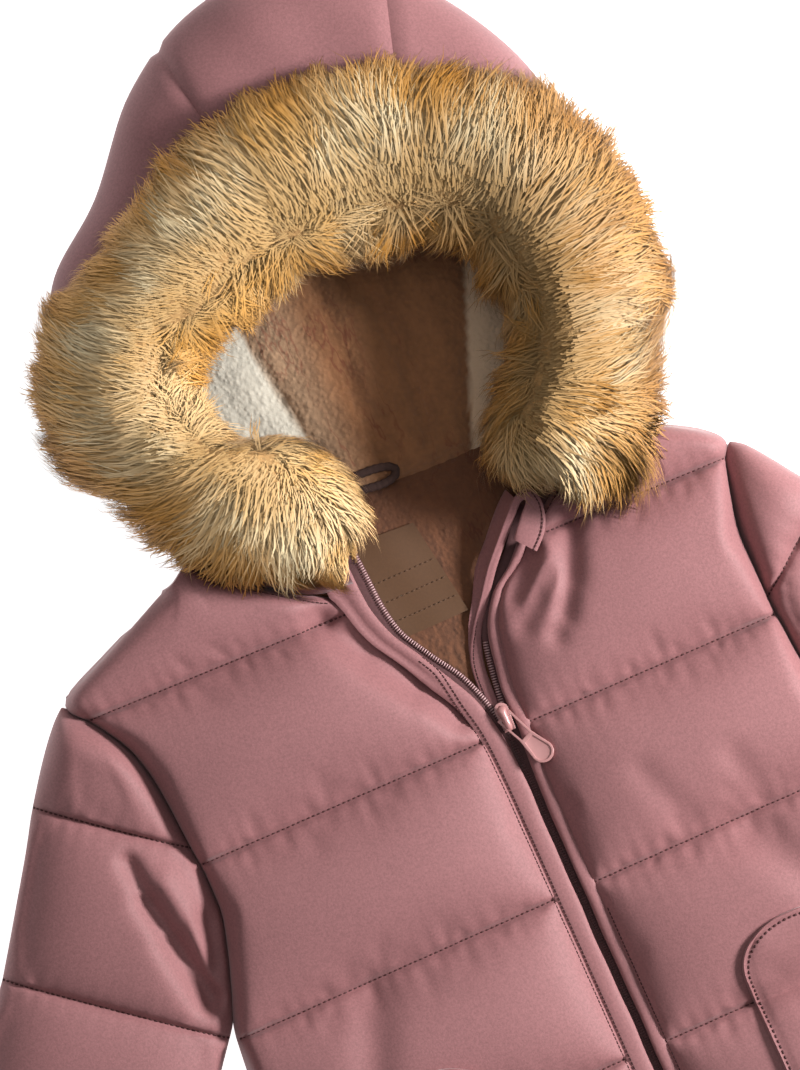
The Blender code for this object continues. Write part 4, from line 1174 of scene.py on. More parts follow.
def pile(name, colour, centre_only=False):
    cloth = Shader(name, Roughness=1.0, Sheen_Weight=0.2, Sheen_Roughness=0.6)
    place = cloth.place()
    curls = cloth.node("TexVoronoi", {"feature": "SMOOTH_F1"}, Vector=place, Scale=520.0)
    lumps = cloth.noise(210.0, 3.0, 0.6)
    height = (1.0 - curls) * 0.6 + lumps * 0.8
    streaks = contrast(cloth.noise(1.0, 3.0, 0.6, vector=cloth.node(
        "Mapping", Vector=place, Scale=(95.0, 26.0, 40.0))), 0.5, 3.0)
    # the pile is darker where its curls and lumps are low: painted shade in the hollows, with random streaks of tone
    shade = ((height - 0.45) * 0.7 + streaks * 0.45).clamp()
    beige = cloth.blend(shade, tuple(c * 0.55 for c in colour), colour)
    threads = cloth.noise(1.0, 4.0, 0.6, vector=cloth.node("Mapping", Vector=place, Scale=(60.0, 16.0, 60.0)))
    thin_lines = (1.0 - (threads - 0.5).maths("ABSOLUTE") * 60.0).clamp()
    partings = thin_lines * contrast(cloth.noise(30.0), 0.52, 6.0)
    beige = cloth.blend(partings * 0.8, beige, tuple(c * k for c, k in zip(colour, (0.5, 0.3, 0.3))))
    across = cloth.node("SeparateXYZ", Vector=place)
    if centre_only:
        cloth.set(Base_Color=beige)
    else:
        part = cloth.node("Attribute", {"attribute_name": "cream"}, output=2)
        painted_light_beige = cloth.blend(shade, tuple(c * 0.7 for c in BEIGE_WITH_PAINTED_LIGHT), BEIGE_WITH_PAINTED_LIGHT)
        painted_light_beige = cloth.blend(partings * 0.7, painted_light_beige, (0.22, 0.07, 0.035))
        # from x = -14 mm to x = 1 mm the centre's beige turns from the pale copy to the dark one: a painted edge of
        # light and shade
        beige = cloth.blend(((across + 0.014) * 65.0).clamp(), painted_light_beige, beige)
        # the cream is darker where the curls are low: painted shade in the hollows
        cream = cloth.blend((height - 0.45).clamp(), tuple(c * 0.8 for c in CREAM), CREAM)
        # right of x = 20 mm the cream turns warmer: painted warm shade
        cream = cloth.blend(((across - 0.02) * 50.0).clamp(), cream, CREAM_WITH_PAINTED_WARM_SHADE)
        cloth.set(Base_Color=cloth.blend(part, beige, cream))
    cloth.relief(height, 0.9, 0.0011)
    return cloth.material


PILE = pile("lining_pile", BEIGE_WITH_PAINTED_SHADE)
# the neck lining's whole colour is painted shade
NECK_PILE_PAINTED_SHADE = pile("neck_pile", NECK_BEIGE_PAINTED_SHADE, centre_only=True)


def pile_lumps(x, y):
    """Relief of the pile's larger lumps, in millimetres."""
    return (0.55 * ripple(x, y, 5.3, 0.4) + 0.4 * ripple(x, y, 3.4, 1.9) + 0.8 * ripple(x, y, 17.0, 0.9))


def floor_relief(x, y):
    """The hood's floor: panels puffed between their seams, and a long crease in the centre."""
    right = np.abs(x - seam_x(SEAM_RIGHT, y))
    left = np.abs(x - seam_x(SEAM_LEFT, y))
    seams = 3.2 * fall(np.minimum(right, left), 12.0)
    crease_x = 26.0 + 2.5 * np.sin((y - 190.0) / 19.0)
    crease = 2.6 * np.exp(-((x - crease_x) / 3.2) ** 2) * np.clip((y - 182) / 14, 0, 1) * np.clip(
        (262 - y) / 14, 0, 1)
    second = 1.5 * np.exp(-((x - 5.0 - 0.06 * (y - 200)) / 3.0) ** 2) * np.clip((y - 186) / 10, 0, 1)
    return seams - crease - second + pile_lumps(x, y)


def mark(piece, name, values):
    attribute = piece.data.attributes.new(name, "FLOAT", "POINT")
    attribute.data.foreach_set("value", np.asarray(values, np.float32).ravel())


# %% Cutting sizes
# Each piece of flat cloth that shows: its cut's largest width and length in mm, and its area in cm2.
# The narrow edge is 6.5 mm wide; the frame's smallest width for a sheet is 10 mm.
CUTS = {
    "hood_lining_pile": (355, 457, 658),
    "neck_lining_pile": (126, 126, 88),
    "hood_facing_cloth": (10, 253, 14.9),
    "placket_flap_cloth": (13, 370, 35.2),
    "placket_edge_cloth": (10, 352, 21.5),
    "zip_tape_right_cloth": (18, 368, 42.9),
    "zip_tape_left_cloth": (22, 368, 27.4),
    "wind_guard_cloth": (12.3, 141, 8.0),
    "guard_facing_cloth": (13.7, 107, 5.1),
    "label_satin_woven": (34, 43, 13.1),
    "pocket_right_cloth": (57, 100, 47),
    "pocket_left_cloth": (57, 100, 47)}


def cut_of(name):
    width, length, area = CUTS[name]
    return {"flat": (width * MM, length * MM), "area": area * (10 * MM) ** 2}


# %% Hood lining
LINING_CELL = 2.0


def hood_lining():
    near = HOOD_THICKNESS + LINING_GAP
    chosen = [item for item in RING if not item[1]][RING_STEPS // 3:-2 * RING_STEPS // 3]
    ring = hood_layer(chosen, near + LINING_THICKNESS)
    foot = ring[:, -1]
    top = int(np.argmax(foot[:, 1]))
    right, left = foot[:top + 1], foot[top:][::-1]
    ys = np.arange(178.0, float(foot[top, 1]) - 1.0, LINING_CELL)
    right_x = np.interp(ys, *zip(*sorted(zip(right[:, 1], right[:, 0]))))
    left_x = np.interp(ys, *zip(*sorted(zip(left[:, 1], left[:, 0]))))
    shares = np.linspace(0, 1, 92)
    x = right_x[:, None] + shares * (left_x - right_x)[:, None]
    y = np.repeat(ys[:, None], len(shares), 1)
    border = np.minimum(shares, 1 - shares) * (left_x - right_x)[:, None]
    blend = np.clip(np.minimum(border, (ys[-1] - y)) / 10.0, 0, 1) * np.clip((y - 178.0) / 5.0, 0, 1)
    z = FLOOR_TOP + np.maximum(floor_relief(x, y), 0.2) * blend
    floor = np.stack([x, y, z], -1)
    lumps = pile_lumps(ring[..., 0] * 1.0, ring[..., 1] + ring[..., 2] * 1.3) * 0.8
    ring[..., 2] += np.where(ring[..., 2] > 12, lumps, 0.0)
    points = np.concatenate([ring.reshape(-1, 3), floor.reshape(-1, 3)])
    ring_points = ring.shape[0] * ring.shape[1]
    faces = np.concatenate([grid_faces(*ring.shape[:2]), grid_faces(*x.shape) + ring_points])
    piece = add_piece("hood_lining_pile", points, faces, PILE)
    part_x, part_y = points[:, 0], points[:, 1]
    cream = np.clip((seam_x(SEAM_RIGHT, part_y) - part_x) / 1.5 + 0.5, 0, 1) + np.clip(
        (part_x - seam_x(SEAM_LEFT, part_y)) / 1.5 + 0.5, 0, 1)
    mark(piece, "cream", np.clip(cream, 0, 1))
    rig.ride(piece, "root")
    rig.replaces(piece, "hood_lining")
    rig.slot(piece, "lining_pile")
    return piece


LINING = hood_lining()
print("hood lining", len(LINING.data.polygons), "faces")
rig.sheet(LINING, **cut_of(LINING.name), held="laid",
         rests_on=["hood_centre_cloth", "hood_side_right_cloth", "hood_side_left_cloth"])


# %% Neck lining
NECK_OVERLAP = 14.0


def neck_lining():
    rows = np.arange(64.0, NECK_ROW + NECK_OVERLAP, LINING_CELL)
    right = np.maximum(front_edge["right"](rows) + 0.4, -60.0)[:, None]
    left = np.minimum(front_edge["left"](rows) - 0.4, 66.0)[:, None]
    shares = np.linspace(0, 1, 56)
    x = right + shares * (left - right)
    row = np.repeat(rows[:, None], len(shares), 1)
    y = row_height(x, row)
    border = np.minimum(shares, 1 - shares) * (left - right)
    z = FRONT_BASE + LINING_THICKNESS + 0.5 + pile_lumps(x, y) * np.clip(border / 6.0, 0, 1) * 0.7
    z = z - 2.6 * np.clip((row - NECK_ROW + 2.0) / 7.0, 0, 1)
    under_label = (x > -26) & (x < 16) & (y > 116) & (y < 167)
    z = np.where(under_label, np.minimum(z, FRONT_BASE + LINING_THICKNESS), z)
    outside = np.stack([x, y, z], -1)
    inside = np.stack([x, y, np.minimum(FRONT_BASE, z - 0.6)], -1)
    piece = walled("neck_lining_pile", outside, inside, NECK_PILE_PAINTED_SHADE)
    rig.ride(piece, "root")
    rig.replaces(piece, "neck_lining")
    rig.slot(piece, "lining_pile")
    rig.sheet(piece, **cut_of(piece.name), held="laid", rests_on=["back_panel_cloth"])
    print("neck lining", len(piece.data.polygons), "faces")
    return piece


neck_lining()


# %% Hood facing
FACING_THICKNESS = 2.0


def hood_facing():
    """Shell cloth turned to the inside along the hood's front edge, beside the fur."""
    chosen = smooth_stations(MAIN_RING, RING_STEPS)[RING_STEPS:-RING_STEPS]
    outside, inside = [], []
    for at in chosen:
        rim, out, profile = hood_section(at, False)
        shown = 1.0 if at.inner_y < 236 and at.inner_x < 0 else 0.4
        distances = SEAM_GAP + np.array((0.0, 2.0, 4.0, 6.0, 8.0, 9.0)) * shown
        drop = np.array((0.4, 0.1, 0.5, 1.2, 2.2, 3.2))
        spots = rim - out * distances[:, None]
        outside.append(np.concatenate([spots, (at.rim_z - drop)[:, None]], 1))
        inside.append(np.concatenate([spots, (at.rim_z - FACING_THICKNESS - drop * 0.8)[:, None]], 1))
    piece = walled("hood_facing_cloth", np.array(outside), np.array(inside), SHELL)
    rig.ride(piece, "root")
    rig.replaces(piece, "hood_facing")
    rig.slot(piece, "shell_cloth")
    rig.sheet(piece, **cut_of(piece.name), held="laid", rests_on=["hood_lining_pile"])
    print("hood facing", len(piece.data.polygons), "faces")


hood_facing()

# %% [markdown]
# ## Geometry Nodes as Python
# Hair, stitches and zip teeth repeat thousands of times, so they are placed by Geometry
# Nodes. `Nodes` builds a tree from Python, with named inputs that become the modifier's.

# %% A small class for Geometry Nodes
class Nodes:
    """A Geometry Nodes tree under construction, with Geometry and Finish among its inputs."""

    def __init__(self, name, **inputs):
        self.tree = bpy.data.node_groups.new(name, "GeometryNodeTree")
        sockets = {"Geometry": "Geometry", **inputs, "Finish": "Material"}
        self.names = {}
        for label, kind in sockets.items():
            made = self.tree.interface.new_socket(label, in_out="INPUT", socket_type="NodeSocket" + kind)
            self.names[label] = made.identifier
        self.tree.interface.new_socket("Geometry", in_out="OUTPUT", socket_type="NodeSocketGeometry")
        self.entry = self.tree.nodes.new("NodeGroupInput")
        self.exit = self.tree.nodes.new("NodeGroupOutput")

    def given(self, label):
        return self.entry.outputs[label]

    def node(self, kind, settings=None, output=0, **inputs):
        made = self.tree.nodes.new(kind)
        for key, value in (settings or {}).items():
            setattr(made, key, value)
        for key, value in inputs.items():
            socket = made.inputs[int(key) if key.isdigit() else key.replace("_", " ")]
            if isinstance(value, bpy.types.NodeSocket):
                self.tree.links.new(value, socket)
            else:
                socket.default_value = value
        return made.outputs[output]

    def read(self, name, kind="FLOAT"):
        return self.node("GeometryNodeInputNamedAttribute", {"data_type": kind}, Name=name)

    def store(self, geometry, name, value, domain="INSTANCE", kind="FLOAT"):
        return self.node("GeometryNodeStoreNamedAttribute", {"data_type": kind, "domain": domain},
                         Geometry=geometry, Name=name, Value=value)

    def random(self, low, high, seed):
        return self.node("FunctionNodeRandomValue", {"data_type": "FLOAT"}, output=1,
                         **{"2": low, "3": high, "8": seed})

    def close(self, instances):
        real = self.node("GeometryNodeRealizeInstances", Geometry=instances)
        done = self.node("GeometryNodeSetMaterial", Geometry=real, Material=self.given("Finish"))
        self.tree.links.new(done, self.exit.inputs[0])
        return self

    def grow(self, source, name, **values):
        """Run the tree on an object, and return its result as a new plain piece."""
        modifier = source.modifiers.new("grow", "NODES")
        modifier.node_group = self.tree
        for label, value in values.items():
            modifier[self.names[label]] = value
        made = bpy.data.meshes.new_from_object(source.evaluated_get(bpy.context.evaluated_depsgraph_get()))
        made.name = name
        piece = bpy.data.objects.new(name, made)
        SCENE.collection.objects.link(piece)
        source.modifiers.clear()
        return piece


def remove(item):
    data = item.data
    bpy.data.objects.remove(item)
    if isinstance(data, bpy.types.Mesh):
        bpy.data.meshes.remove(data)


# %% [markdown]
# ## Fur band
# The band round the hood is long-haired fur on a strip of backing. Its hair parts along the
# middle and falls to both sides. A soft roll carries it, and locks of a few flat hairs each
# are scattered over the roll: a flat hair catches light like a real one and costs only five
# triangles.

# %% Fur roll
FUR_INNER = 0.13
FUR_OUTER = 0.80
FUR_PART = 0.22
FUR_COLUMNS = 29
ROLL_HEIGHT = 20.0
ROLL_LIFT = 1.2
LIMB_BASE = 27.0


def height_finder(names, below=False):
    """A function that gives the highest point of some pieces at a place, or the lowest."""
    points, faces = [], []
    for name in names:
        mesh = bpy.data.objects[name].data
        first = len(points)
        points += points_of(bpy.data.objects[name]).tolist()
        faces += [[first + index for index in face.vertices] for face in mesh.polygons]
    tree = BVHTree.FromPolygons(points, faces)

    def find(x, y):
        start, way = (-300.0, 1) if below else (300.0, -1)
        hit = tree.ray_cast(Vector((x, y, start)), Vector((0, 0, way)))[0]
        return hit.z if hit else None
    return find


def fur_roll():
    """Grids of the roll's upper and lower points, its share across and its row direction."""
    ground = height_finder(["hood_side_right_cloth", "hood_centre_cloth", "hood_side_left_cloth",
                            "front_right_cloth", "front_left_cloth"])
    angles = np.linspace(math.pi, 0.0, FUR_COLUMNS)
    shares = (FUR_INNER + FUR_OUTER) / 2 + (FUR_OUTER - FUR_INNER) / 2 * np.cos(angles)
    upper, lower = [], []
    for at, limb in RING:
        inner, outer = np.array((at.inner_x, at.inner_y)), np.array((at.outer_x, at.outer_y))
        width = np.linalg.norm(outer - inner)
        spots = inner + shares[:, None] * (outer - inner)
        found = [ground(*spot) for spot in spots]
        base = np.array([max(z or 0.0, at.rim_z if share < 0.4 else 0.0, LIMB_BASE if limb else 0.0)
                         for z, share in zip(found, shares)])
        for index in range(1, len(base)):
            base[index] = max(base[index], base[index - 1] - 2.5)
        base += ROLL_LIFT
        rise = ROLL_HEIGHT * min(1.0, width / 55.0) * np.sin(angles) ** 0.7 + 1.2
        upper.append(np.concatenate([spots, (base + rise)[:, None]], 1))
        lower.append(np.concatenate([spots, base[:, None]], 1))
    upper, lower = np.array(upper), np.array(lower)
    for grid in (upper, lower):
        for turn in range(2):
            grid[1:-1, :, 2] = (grid[:-2, :, 2] + 2 * grid[1:-1, :, 2] + grid[2:, :, 2]) / 4
    return upper, lower, shares


ROLL_UPPER, ROLL_LOWER, ROLL_SHARES = fur_roll()
print("fur roll", ROLL_UPPER.shape[:2], "points, top at", round(float(ROLL_UPPER[..., 2].max()), 1), "mm")


# %% Hair direction
def unit(vectors):
    return vectors / np.maximum(np.linalg.norm(vectors, axis=-1, keepdims=True), 1e-9)


def hair_field():
    """For every point of the roll: where hair grows to, where it bends to, and its length."""
    across = unit(np.gradient(ROLL_UPPER, axis=1))
    along = unit(np.gradient(ROLL_UPPER, axis=0))
    normal = unit(np.cross(along, across))
    normal *= np.sign(normal[..., 2:])
    ends = np.array([(at.inner_x, at.inner_y, at.outer_x, at.outer_y) for at, limb in RING])
    outwards = np.concatenate([unit(ends[:, 2:] - ends[:, :2]), np.zeros((len(RING), 1))], 1)[:, None, :]
    x, y = ROLL_UPPER[..., 0], ROLL_UPPER[..., 1]
    share = ROLL_SHARES[None, :] + 0.025 * ripple(x, y, 34.0, 2.0)
    side = np.tanh((share - FUR_PART) / 0.05)[..., None]
    row = np.arange(len(RING))[:, None]
    at_end = np.clip(1 - row / 28.0, 0, 1) - np.clip(1 - (len(RING) - 1 - row) / 24.0, 0, 1)
    drift = 0.5 * ripple(x, y, 62.0, 0.7) + 0.4 * ripple(x, y, 17.0, 1.7) - 1.8 * at_end
    droop = np.array((0.0, 0.0, -0.3)) * np.abs(side)
    flow = unit(outwards * side + along * drift[..., None] + droop)
    tuft = 1 + 0.24 * ripple(x, y, 11.0, 2.2)
    rise = unit(normal * 0.5 + flow * 0.9)
    width = np.linalg.norm(ends[:, 2:] - ends[:, :2], axis=1)
    length = tuft * np.clip(width / 66.0, 0.55, 1.0)[:, None] * (0.88 + 0.18 * side[..., 0])
    length = length * (1 - 0.38 * np.exp(-((row - 63) / 13.0) ** 2) * np.clip(side[..., 0], 0, 1))
    return rise, flow, length, normal


HAIR_RISE, HAIR_FLOW, HAIR_LENGTH, ROLL_NORMAL = hair_field()


# %% Locks of hair
HAIR_SEED = 7
LOCK_KINDS = 6
LOCK_HAIRS = 12
HAIR_REACH = 35.0
HAIR_WIDTH = 0.56
HAIR_STEPS = (0.0, 0.34, 0.7, 1.0)


def make_locks():
    """A collection of different locks, each a few flat hairs that lean towards each other."""
    locks = bpy.data.collections.new("fur_locks")
    draw = np.random.default_rng(HAIR_SEED)
    for kind in range(LOCK_KINDS):
        points, faces, along, strand = [], [], [], []
        for _ in range(LOCK_HAIRS):
            foot = draw.normal(0.0, 2.2, 2)
            shade = draw.random()
            length = HAIR_REACH * (draw.uniform(0.72, 1.02) + 0.28 * shade ** 6)
            wide = HAIR_WIDTH * draw.uniform(0.7, 1.2)
            twist, sway = draw.normal(0.0, 0.45), draw.normal(0.0, 2.6)
            first = len(points)
            for t in HAIR_STEPS:
                wave = 0.9 * math.sin(6.0 * t + 6.3 * shade)
                centre = np.array((foot[0] * (1 - 0.5 * t) + length * (0.06 * t + 0.5 * t * t),
                                   foot[1] * (1 - 0.65 * t) + sway * t * t + wave,
                                   length * (0.92 * t - 0.36 * t * t)))
                half = wide / 2 * (1 - 0.75 * t ** 1.5)
                side = np.array((math.sin(twist) * 0.7, math.cos(twist), math.sin(twist) * 0.7)) * half
                if t < 1:
                    points += [centre - side, centre + side]
                    along += [t, t]
                else:
                    points.append(centre)
                    along.append(t)
            pairs = first + 2 * np.arange(len(HAIR_STEPS) - 2)
            faces += [[pair, pair + 1, pair + 3, pair + 2] for pair in pairs.tolist()]
            faces.append([first + 2 * len(pairs), first + 2 * len(pairs) + 1, first + 2 * len(pairs) + 2])
            strand += [shade] * (len(points) - first)
        mesh = bpy.data.meshes.new("lock_" + str(kind))
        mesh.from_pydata((np.array(points) * MM).tolist(), [], faces)
        mesh.shade_smooth()
        lock = bpy.data.objects.new(mesh.name, mesh)
        mark(lock, "along", along)
        mark(lock, "strand", strand)
        locks.objects.link(lock)
    return locks


def hair_tree():
    """Scatters locks over a surface, turned and scaled by the surface's own attributes."""
    tree = Nodes("scatter_hair", Density="Float", Seed="Int", Locks="Collection")
    points = tree.node("GeometryNodeDistributePointsOnFaces", Mesh=tree.given("Geometry"),
                       Density=tree.given("Density"), Seed=tree.given("Seed"))
    turn = tree.node("FunctionNodeAxesToRotation", {"primary_axis": "Z", "secondary_axis": "X"},
                     Primary_Axis=tree.read("rise", "FLOAT_VECTOR"),
                     Secondary_Axis=tree.read("flow", "FLOAT_VECTOR"))
    size = tree.node("ShaderNodeMath", {"operation": "MULTIPLY"},
                     **{"0": tree.read("hair_length"), "1": tree.random(0.82, 1.16, 3)})
    kind = tree.node("FunctionNodeRandomValue", {"data_type": "INT"}, output=2,
                     **{"4": 0, "5": LOCK_KINDS - 1, "8": 5})
    locks = tree.node("GeometryNodeCollectionInfo", Collection=tree.given("Locks"),
                      Separate_Children=True, Reset_Children=True)
    made = tree.node("GeometryNodeInstanceOnPoints", Points=points, Instance=locks, Pick_Instance=True,
                     Instance_Index=kind, Rotation=turn, Scale=size)
    made = tree.store(made, "lock", tree.random(0.0, 1.0, 11))
    made = tree.store(made, "lean", tree.read("roll_normal", "FLOAT_VECTOR"), kind="FLOAT_VECTOR")
    made = tree.store(made, "root", tree.node("GeometryNodeInputPosition"), kind="FLOAT_VECTOR")
    return tree.close(made)


# %% Fur material
HAIR_ROOT = (0.60, 0.37, 0.15)
HAIR_CREAM = (0.95, 0.76, 0.46)
HAIR_TAN = (0.76, 0.41, 0.12)
HAIR_ORANGE = (0.62, 0.27, 0.035)
HAIR_TIP = (0.10, 0.042, 0.014)


RIDGE = 0.48  # how far across the band its palest hair is
OUTER_EDGE = 0.56


def hair_finish():
    fur = Shader("fur_hair", Roughness=0.6, Specular_IOR_Level=0.3, Sheen_Weight=0.1)
    along = fur.node("Attribute", {"attribute_name": "along"}, output=2)
    strand = fur.node("Attribute", {"attribute_name": "strand"}, output=2)
    lock = fur.node("Attribute", {"attribute_name": "lock"}, output=2)
    across = fur.node("Attribute", {"attribute_name": "across"}, output=2)
    root = fur.node("Attribute", {"attribute_name": "root"}, output=1)
    patches = contrast(fur.noise(26.0, 2.0, 0.6, vector=root), 0.5, 7.0)
    small = contrast(fur.noise(140.0, 2.0, 0.6, vector=root), 0.5, 4.0)
    ridge = (1.0 - (across - RIDGE).maths("ABSOLUTE") * 3.2).clamp()
    # hair right of x = 30 mm, on the side that faces the key lamp, is made duller and darker: painted shade
    painted_shade_east = ((fur.node("SeparateXYZ", Vector=root) - 0.03) * 14.0).clamp()
    outer = ((across - OUTER_EDGE) * 5.0).clamp()
    light = (patches * 0.7 + ridge * 0.55 + small * 0.25 + (strand - 0.5) * 0.3 + (lock - 0.5) * 0.3
             - 0.24 - painted_shade_east * 0.15 - outer * 0.55).clamp()
    body = fur.blend(light, HAIR_TAN, HAIR_CREAM)
    edge = ((RIDGE - across) * 4.5).clamp()
    warm = ((contrast(fur.noise(42.0, 2.0, 0.6, vector=root), 0.54, 7.0) + edge * 0.65 + outer * 0.95)
            * (along * 1.0 + 0.1) * (strand * 0.5 + 0.5)).clamp()
    body = fur.blend(warm, body, HAIR_ORANGE)
    mid = fur.blend((along * 2.4 + 0.05).clamp(), HAIR_ROOT, body)
    tipped = (strand * 2.6 + lock * 0.8 + edge * 0.9 - 1.8 - ridge * 0.5).clamp()
    tip = ((along - 0.62) * 3.3).clamp() * tipped
    # painted shade: the hair's colour is darkened on the fur's right side
    painted_shade_dim = fur.blend(painted_shade_east * 0.8, (1.0, 1.0, 1.0), (0.46, 0.42, 0.38))
    shown = fur.node("Mix", {"data_type": "RGBA", "blend_type": "MULTIPLY"}, output=2,
                     **{"0": 1.0, "6": fur.blend(tip, mid, HAIR_TIP), "7": painted_shade_dim})
    # every hair takes the roll's own direction, so the fur shades softly as one form
    lean = fur.node("Attribute", {"attribute_name": "lean"}, output=1)
    fur.set(Base_Color=shown, Normal=lean)
    return fur.material


def backing_finish():
    cloth = Shader("fur_backing", Roughness=0.95)
    streak = cloth.noise(260.0, 3.0)
    cloth.set(Base_Color=cloth.blend(streak, (0.34, 0.18, 0.07), (0.55, 0.32, 0.12)))
    cloth.relief(streak, 0.8, 0.0015)
    return cloth.material


# %% Fur
HAIR_DENSITY = 0.24
HAIR_FLOOR = 6.0  # below this height hair lies flatter, so that none sinks into the floor
FUR_SECTORS = 5


def grow_fur():
    band = walled("fur_band", ROLL_UPPER, ROLL_LOWER, backing_finish())
    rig.ride(band, "root")
    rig.replaces(band, "fur_trim")
    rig.slot(band, "fur")
    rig.padded(band, fill=0.7)
    locks, tree, finish = make_locks(), hair_tree(), hair_finish()
    cuts = np.linspace(0, len(RING) - 1, FUR_SECTORS + 1).round().astype(int)
    for sector, (low, high) in enumerate(zip(cuts, cuts[1:])):
        grid = ROLL_UPPER[low:high + 1]
        source = add_piece("fur_source", grid.reshape(-1, 3), grid_faces(*grid.shape[:2]), finish)
        if source.data.polygons[len(source.data.polygons) // 2].normal.z < 0:
            source.data.flip_normals()
        for name, field in (("rise", HAIR_RISE), ("flow", HAIR_FLOW), ("roll_normal", ROLL_NORMAL)):
            attribute = source.data.attributes.new(name, "FLOAT_VECTOR", "POINT")
            attribute.data.foreach_set("vector", field[low:high + 1].astype(np.float32).ravel())
        mark(source, "hair_length", HAIR_LENGTH[low:high + 1])
        mark(source, "across", np.broadcast_to(ROLL_SHARES, grid.shape[:2]))
        hair = tree.grow(source, f"fur_hair_{sector + 1}", Density=HAIR_DENSITY / MM ** 2,
                         Seed=HAIR_SEED + sector, Locks=locks, Finish=finish)
        remove(source)
        hair.data.flip_normals()
        spots = points_of(hair)
        low = spots[:, 2] < HAIR_FLOOR
        spots[low, 2] = HAIR_FLOOR * np.exp(spots[low, 2] / HAIR_FLOOR - 1)
        set_points(hair, spots)
        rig.ride(hair, "root")
        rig.replaces(hair, "fur_trim")
        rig.slot(hair, "fur")
        triangles = sum(len(face.vertices) - 2 for face in hair.data.polygons)
        print(hair.name, triangles, "triangles")
    for lock in list(locks.objects):
        remove(lock)
    bpy.data.collections.remove(locks)


grow_fur()

# %% [markdown]
# ## Front opening
# A flap sewn to the right front with two rows covers the zip, and a narrow folded edge on
# the left front faces it. Both are folded strips, so their free edges are round and not
# quite straight. The zip itself is two woven tapes, each with a coil of plastic teeth.

# %% Strips along the opening
TAPE_BASE = 12.2
TAPE_THICKNESS = 0.8
FLAP_BASE = 14.4
FLAP_THICKNESS = 2.2
ZIP_FOOT = -198.0
COIL_WIDTH = 2.4
STRIP_EDGES = {
    "flap": smooth_curve(((-205, 5), (40, 5), (60, 4.8), (70, 3.8), (84, 1), (100, -6.5), (111, -12),
                          (125, -20), (133, -22.6), (141, -24.4), (147, -25))),
    "edge": smooth_curve(((-205, 8.3), (40, 8.6), (60, 9.8), (70, 11), (84, 11), (100, 13), (111, 15.6),
                          (125, 23.8), (133, 34), (141, 41))),
    "coil_right": smooth_curve(((-198, 6.6), (60, 6.6), (70, 6.3), (82, 4), (97, -1), (112, -10),
                                (127, -17.5), (140, -19.6), (147, -20), (164, -21))),
    "coil_left": smooth_curve(((-198, 7.4), (60, 7.4), (70, 7.6), (82, 9), (97, 11), (109, 13.5),
                               (121, 20.5), (131, 28), (139, 35.5), (147, 42)))}


def strip_piece(name, side, edge, low, high, base, thickness, finish,
                crown=0.0, waver=0.0, beyond=0.0, lap=0.7, columns=11):
    """A strip from a front's edge to its own free edge, with rounded sides and a crowned top."""
    rows = np.arange(low, high + 0.1, 2.5)
    towards = 1.0 if side == "right" else -1.0
    near = front_edge[side](rows) - towards * lap
    near = np.maximum(near, -37.0) if side == "right" else near
    far = STRIP_EDGES[edge](rows) + towards * beyond + waver * ripple(rows, rows * 0.0, 31.0, 0.6)
    angle = np.linspace(math.pi, 0.0, columns)
    share = 0.5 + 0.5 * np.cos(angle)
    free = 2 * share - 1
    round_off = np.sqrt(np.maximum(0.0, 1 - np.abs(np.where(free > 0, free, 0.8 * free)) ** 4))
    x = near[:, None] + share * (far - near)[:, None]
    y = row_height(x, rows[:, None] + 0.0 * x)
    middle = base + thickness / 2
    soft = crown * np.sin(math.pi * share) * (0.75 + 0.5 * ripple(x * 0.6, y, 37.0, 1.1))
    if side == "right":
        soft = soft - 1.5 * crown * np.exp(-((share - 0.38) / 0.16) ** 2) * np.clip((y - 92) / 14, 0, 1)
    outside = np.stack([x, y, middle + (0.15 + 0.85 * round_off) * thickness / 2 + soft], -1)
    inside = np.stack([x, y, middle - (0.15 + 0.85 * round_off) * thickness / 2 + 0.0 * x], -1)
    return walled(name, outside, inside, finish, angle=70)


def lay(piece, node, slot_name, rests_on, held="laid"):
    """What every flat piece of cloth tells the frame: its body, node, finish and cut size."""
    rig.ride(piece, "root")
    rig.replaces(piece, node)
    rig.slot(piece, slot_name)
    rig.sheet(piece, **cut_of(piece.name), held=held, rests_on=rests_on)
    area = sum(face.area for face in piece.data.polygons) / 2 / (10 * MM) ** 2
    print(piece.name, len(piece.data.polygons), "faces,", round(area, 1), "cm2, cut", CUTS[piece.name][2])


# %% Flap, narrow edge and zip tapes
def zip_tape_finish():
    cloth = Shader("zip_tape", Roughness=0.75, Sheen_Weight=0.2)
    rib = cloth.noise(700.0, 1.0)
    # the tape is a dark plum, made darker still as painted shade for the deep gap of the opening
    cloth.set(Base_Color=cloth.blend(rib, (0.075, 0.026, 0.027), (0.12, 0.042, 0.044)))
    cloth.relief(rib, 0.4, 0.0003)
    return cloth.material


PLUM_TAPE_AND_PAINTED_SHADE = zip_tape_finish()


def front_opening():
    flap = strip_piece("placket_flap_cloth", "right", "flap", HEM_ROW, 159.0, FLAP_BASE, FLAP_THICKNESS,
                       SHELL, crown=0.7, waver=0.45)
    lay(flap, "placket_flap", "shell_cloth", ["zip_tape_right_cloth"])
    edge = strip_piece("placket_edge_cloth", "left", "edge", HEM_ROW, 140.0, FLAP_BASE, FLAP_THICKNESS,
                       SHELL, crown=0.8, waver=0.35)
    lay(edge, "placket_edge", "shell_cloth", ["zip_tape_left_cloth"])
    for side, high in (("right", 164.0), ("left", 156.0)):
        tape = strip_piece(f"zip_tape_{side}_cloth", side, "coil_" + side, ZIP_FOOT, high, TAPE_BASE,
                           TAPE_THICKNESS, PLUM_TAPE_AND_PAINTED_SHADE, beyond=COIL_WIDTH / 2, lap=0.0, columns=7)
        lay(tape, "zip_tape_" + side, "zip_tape", ["back_panel_cloth"])


front_opening()
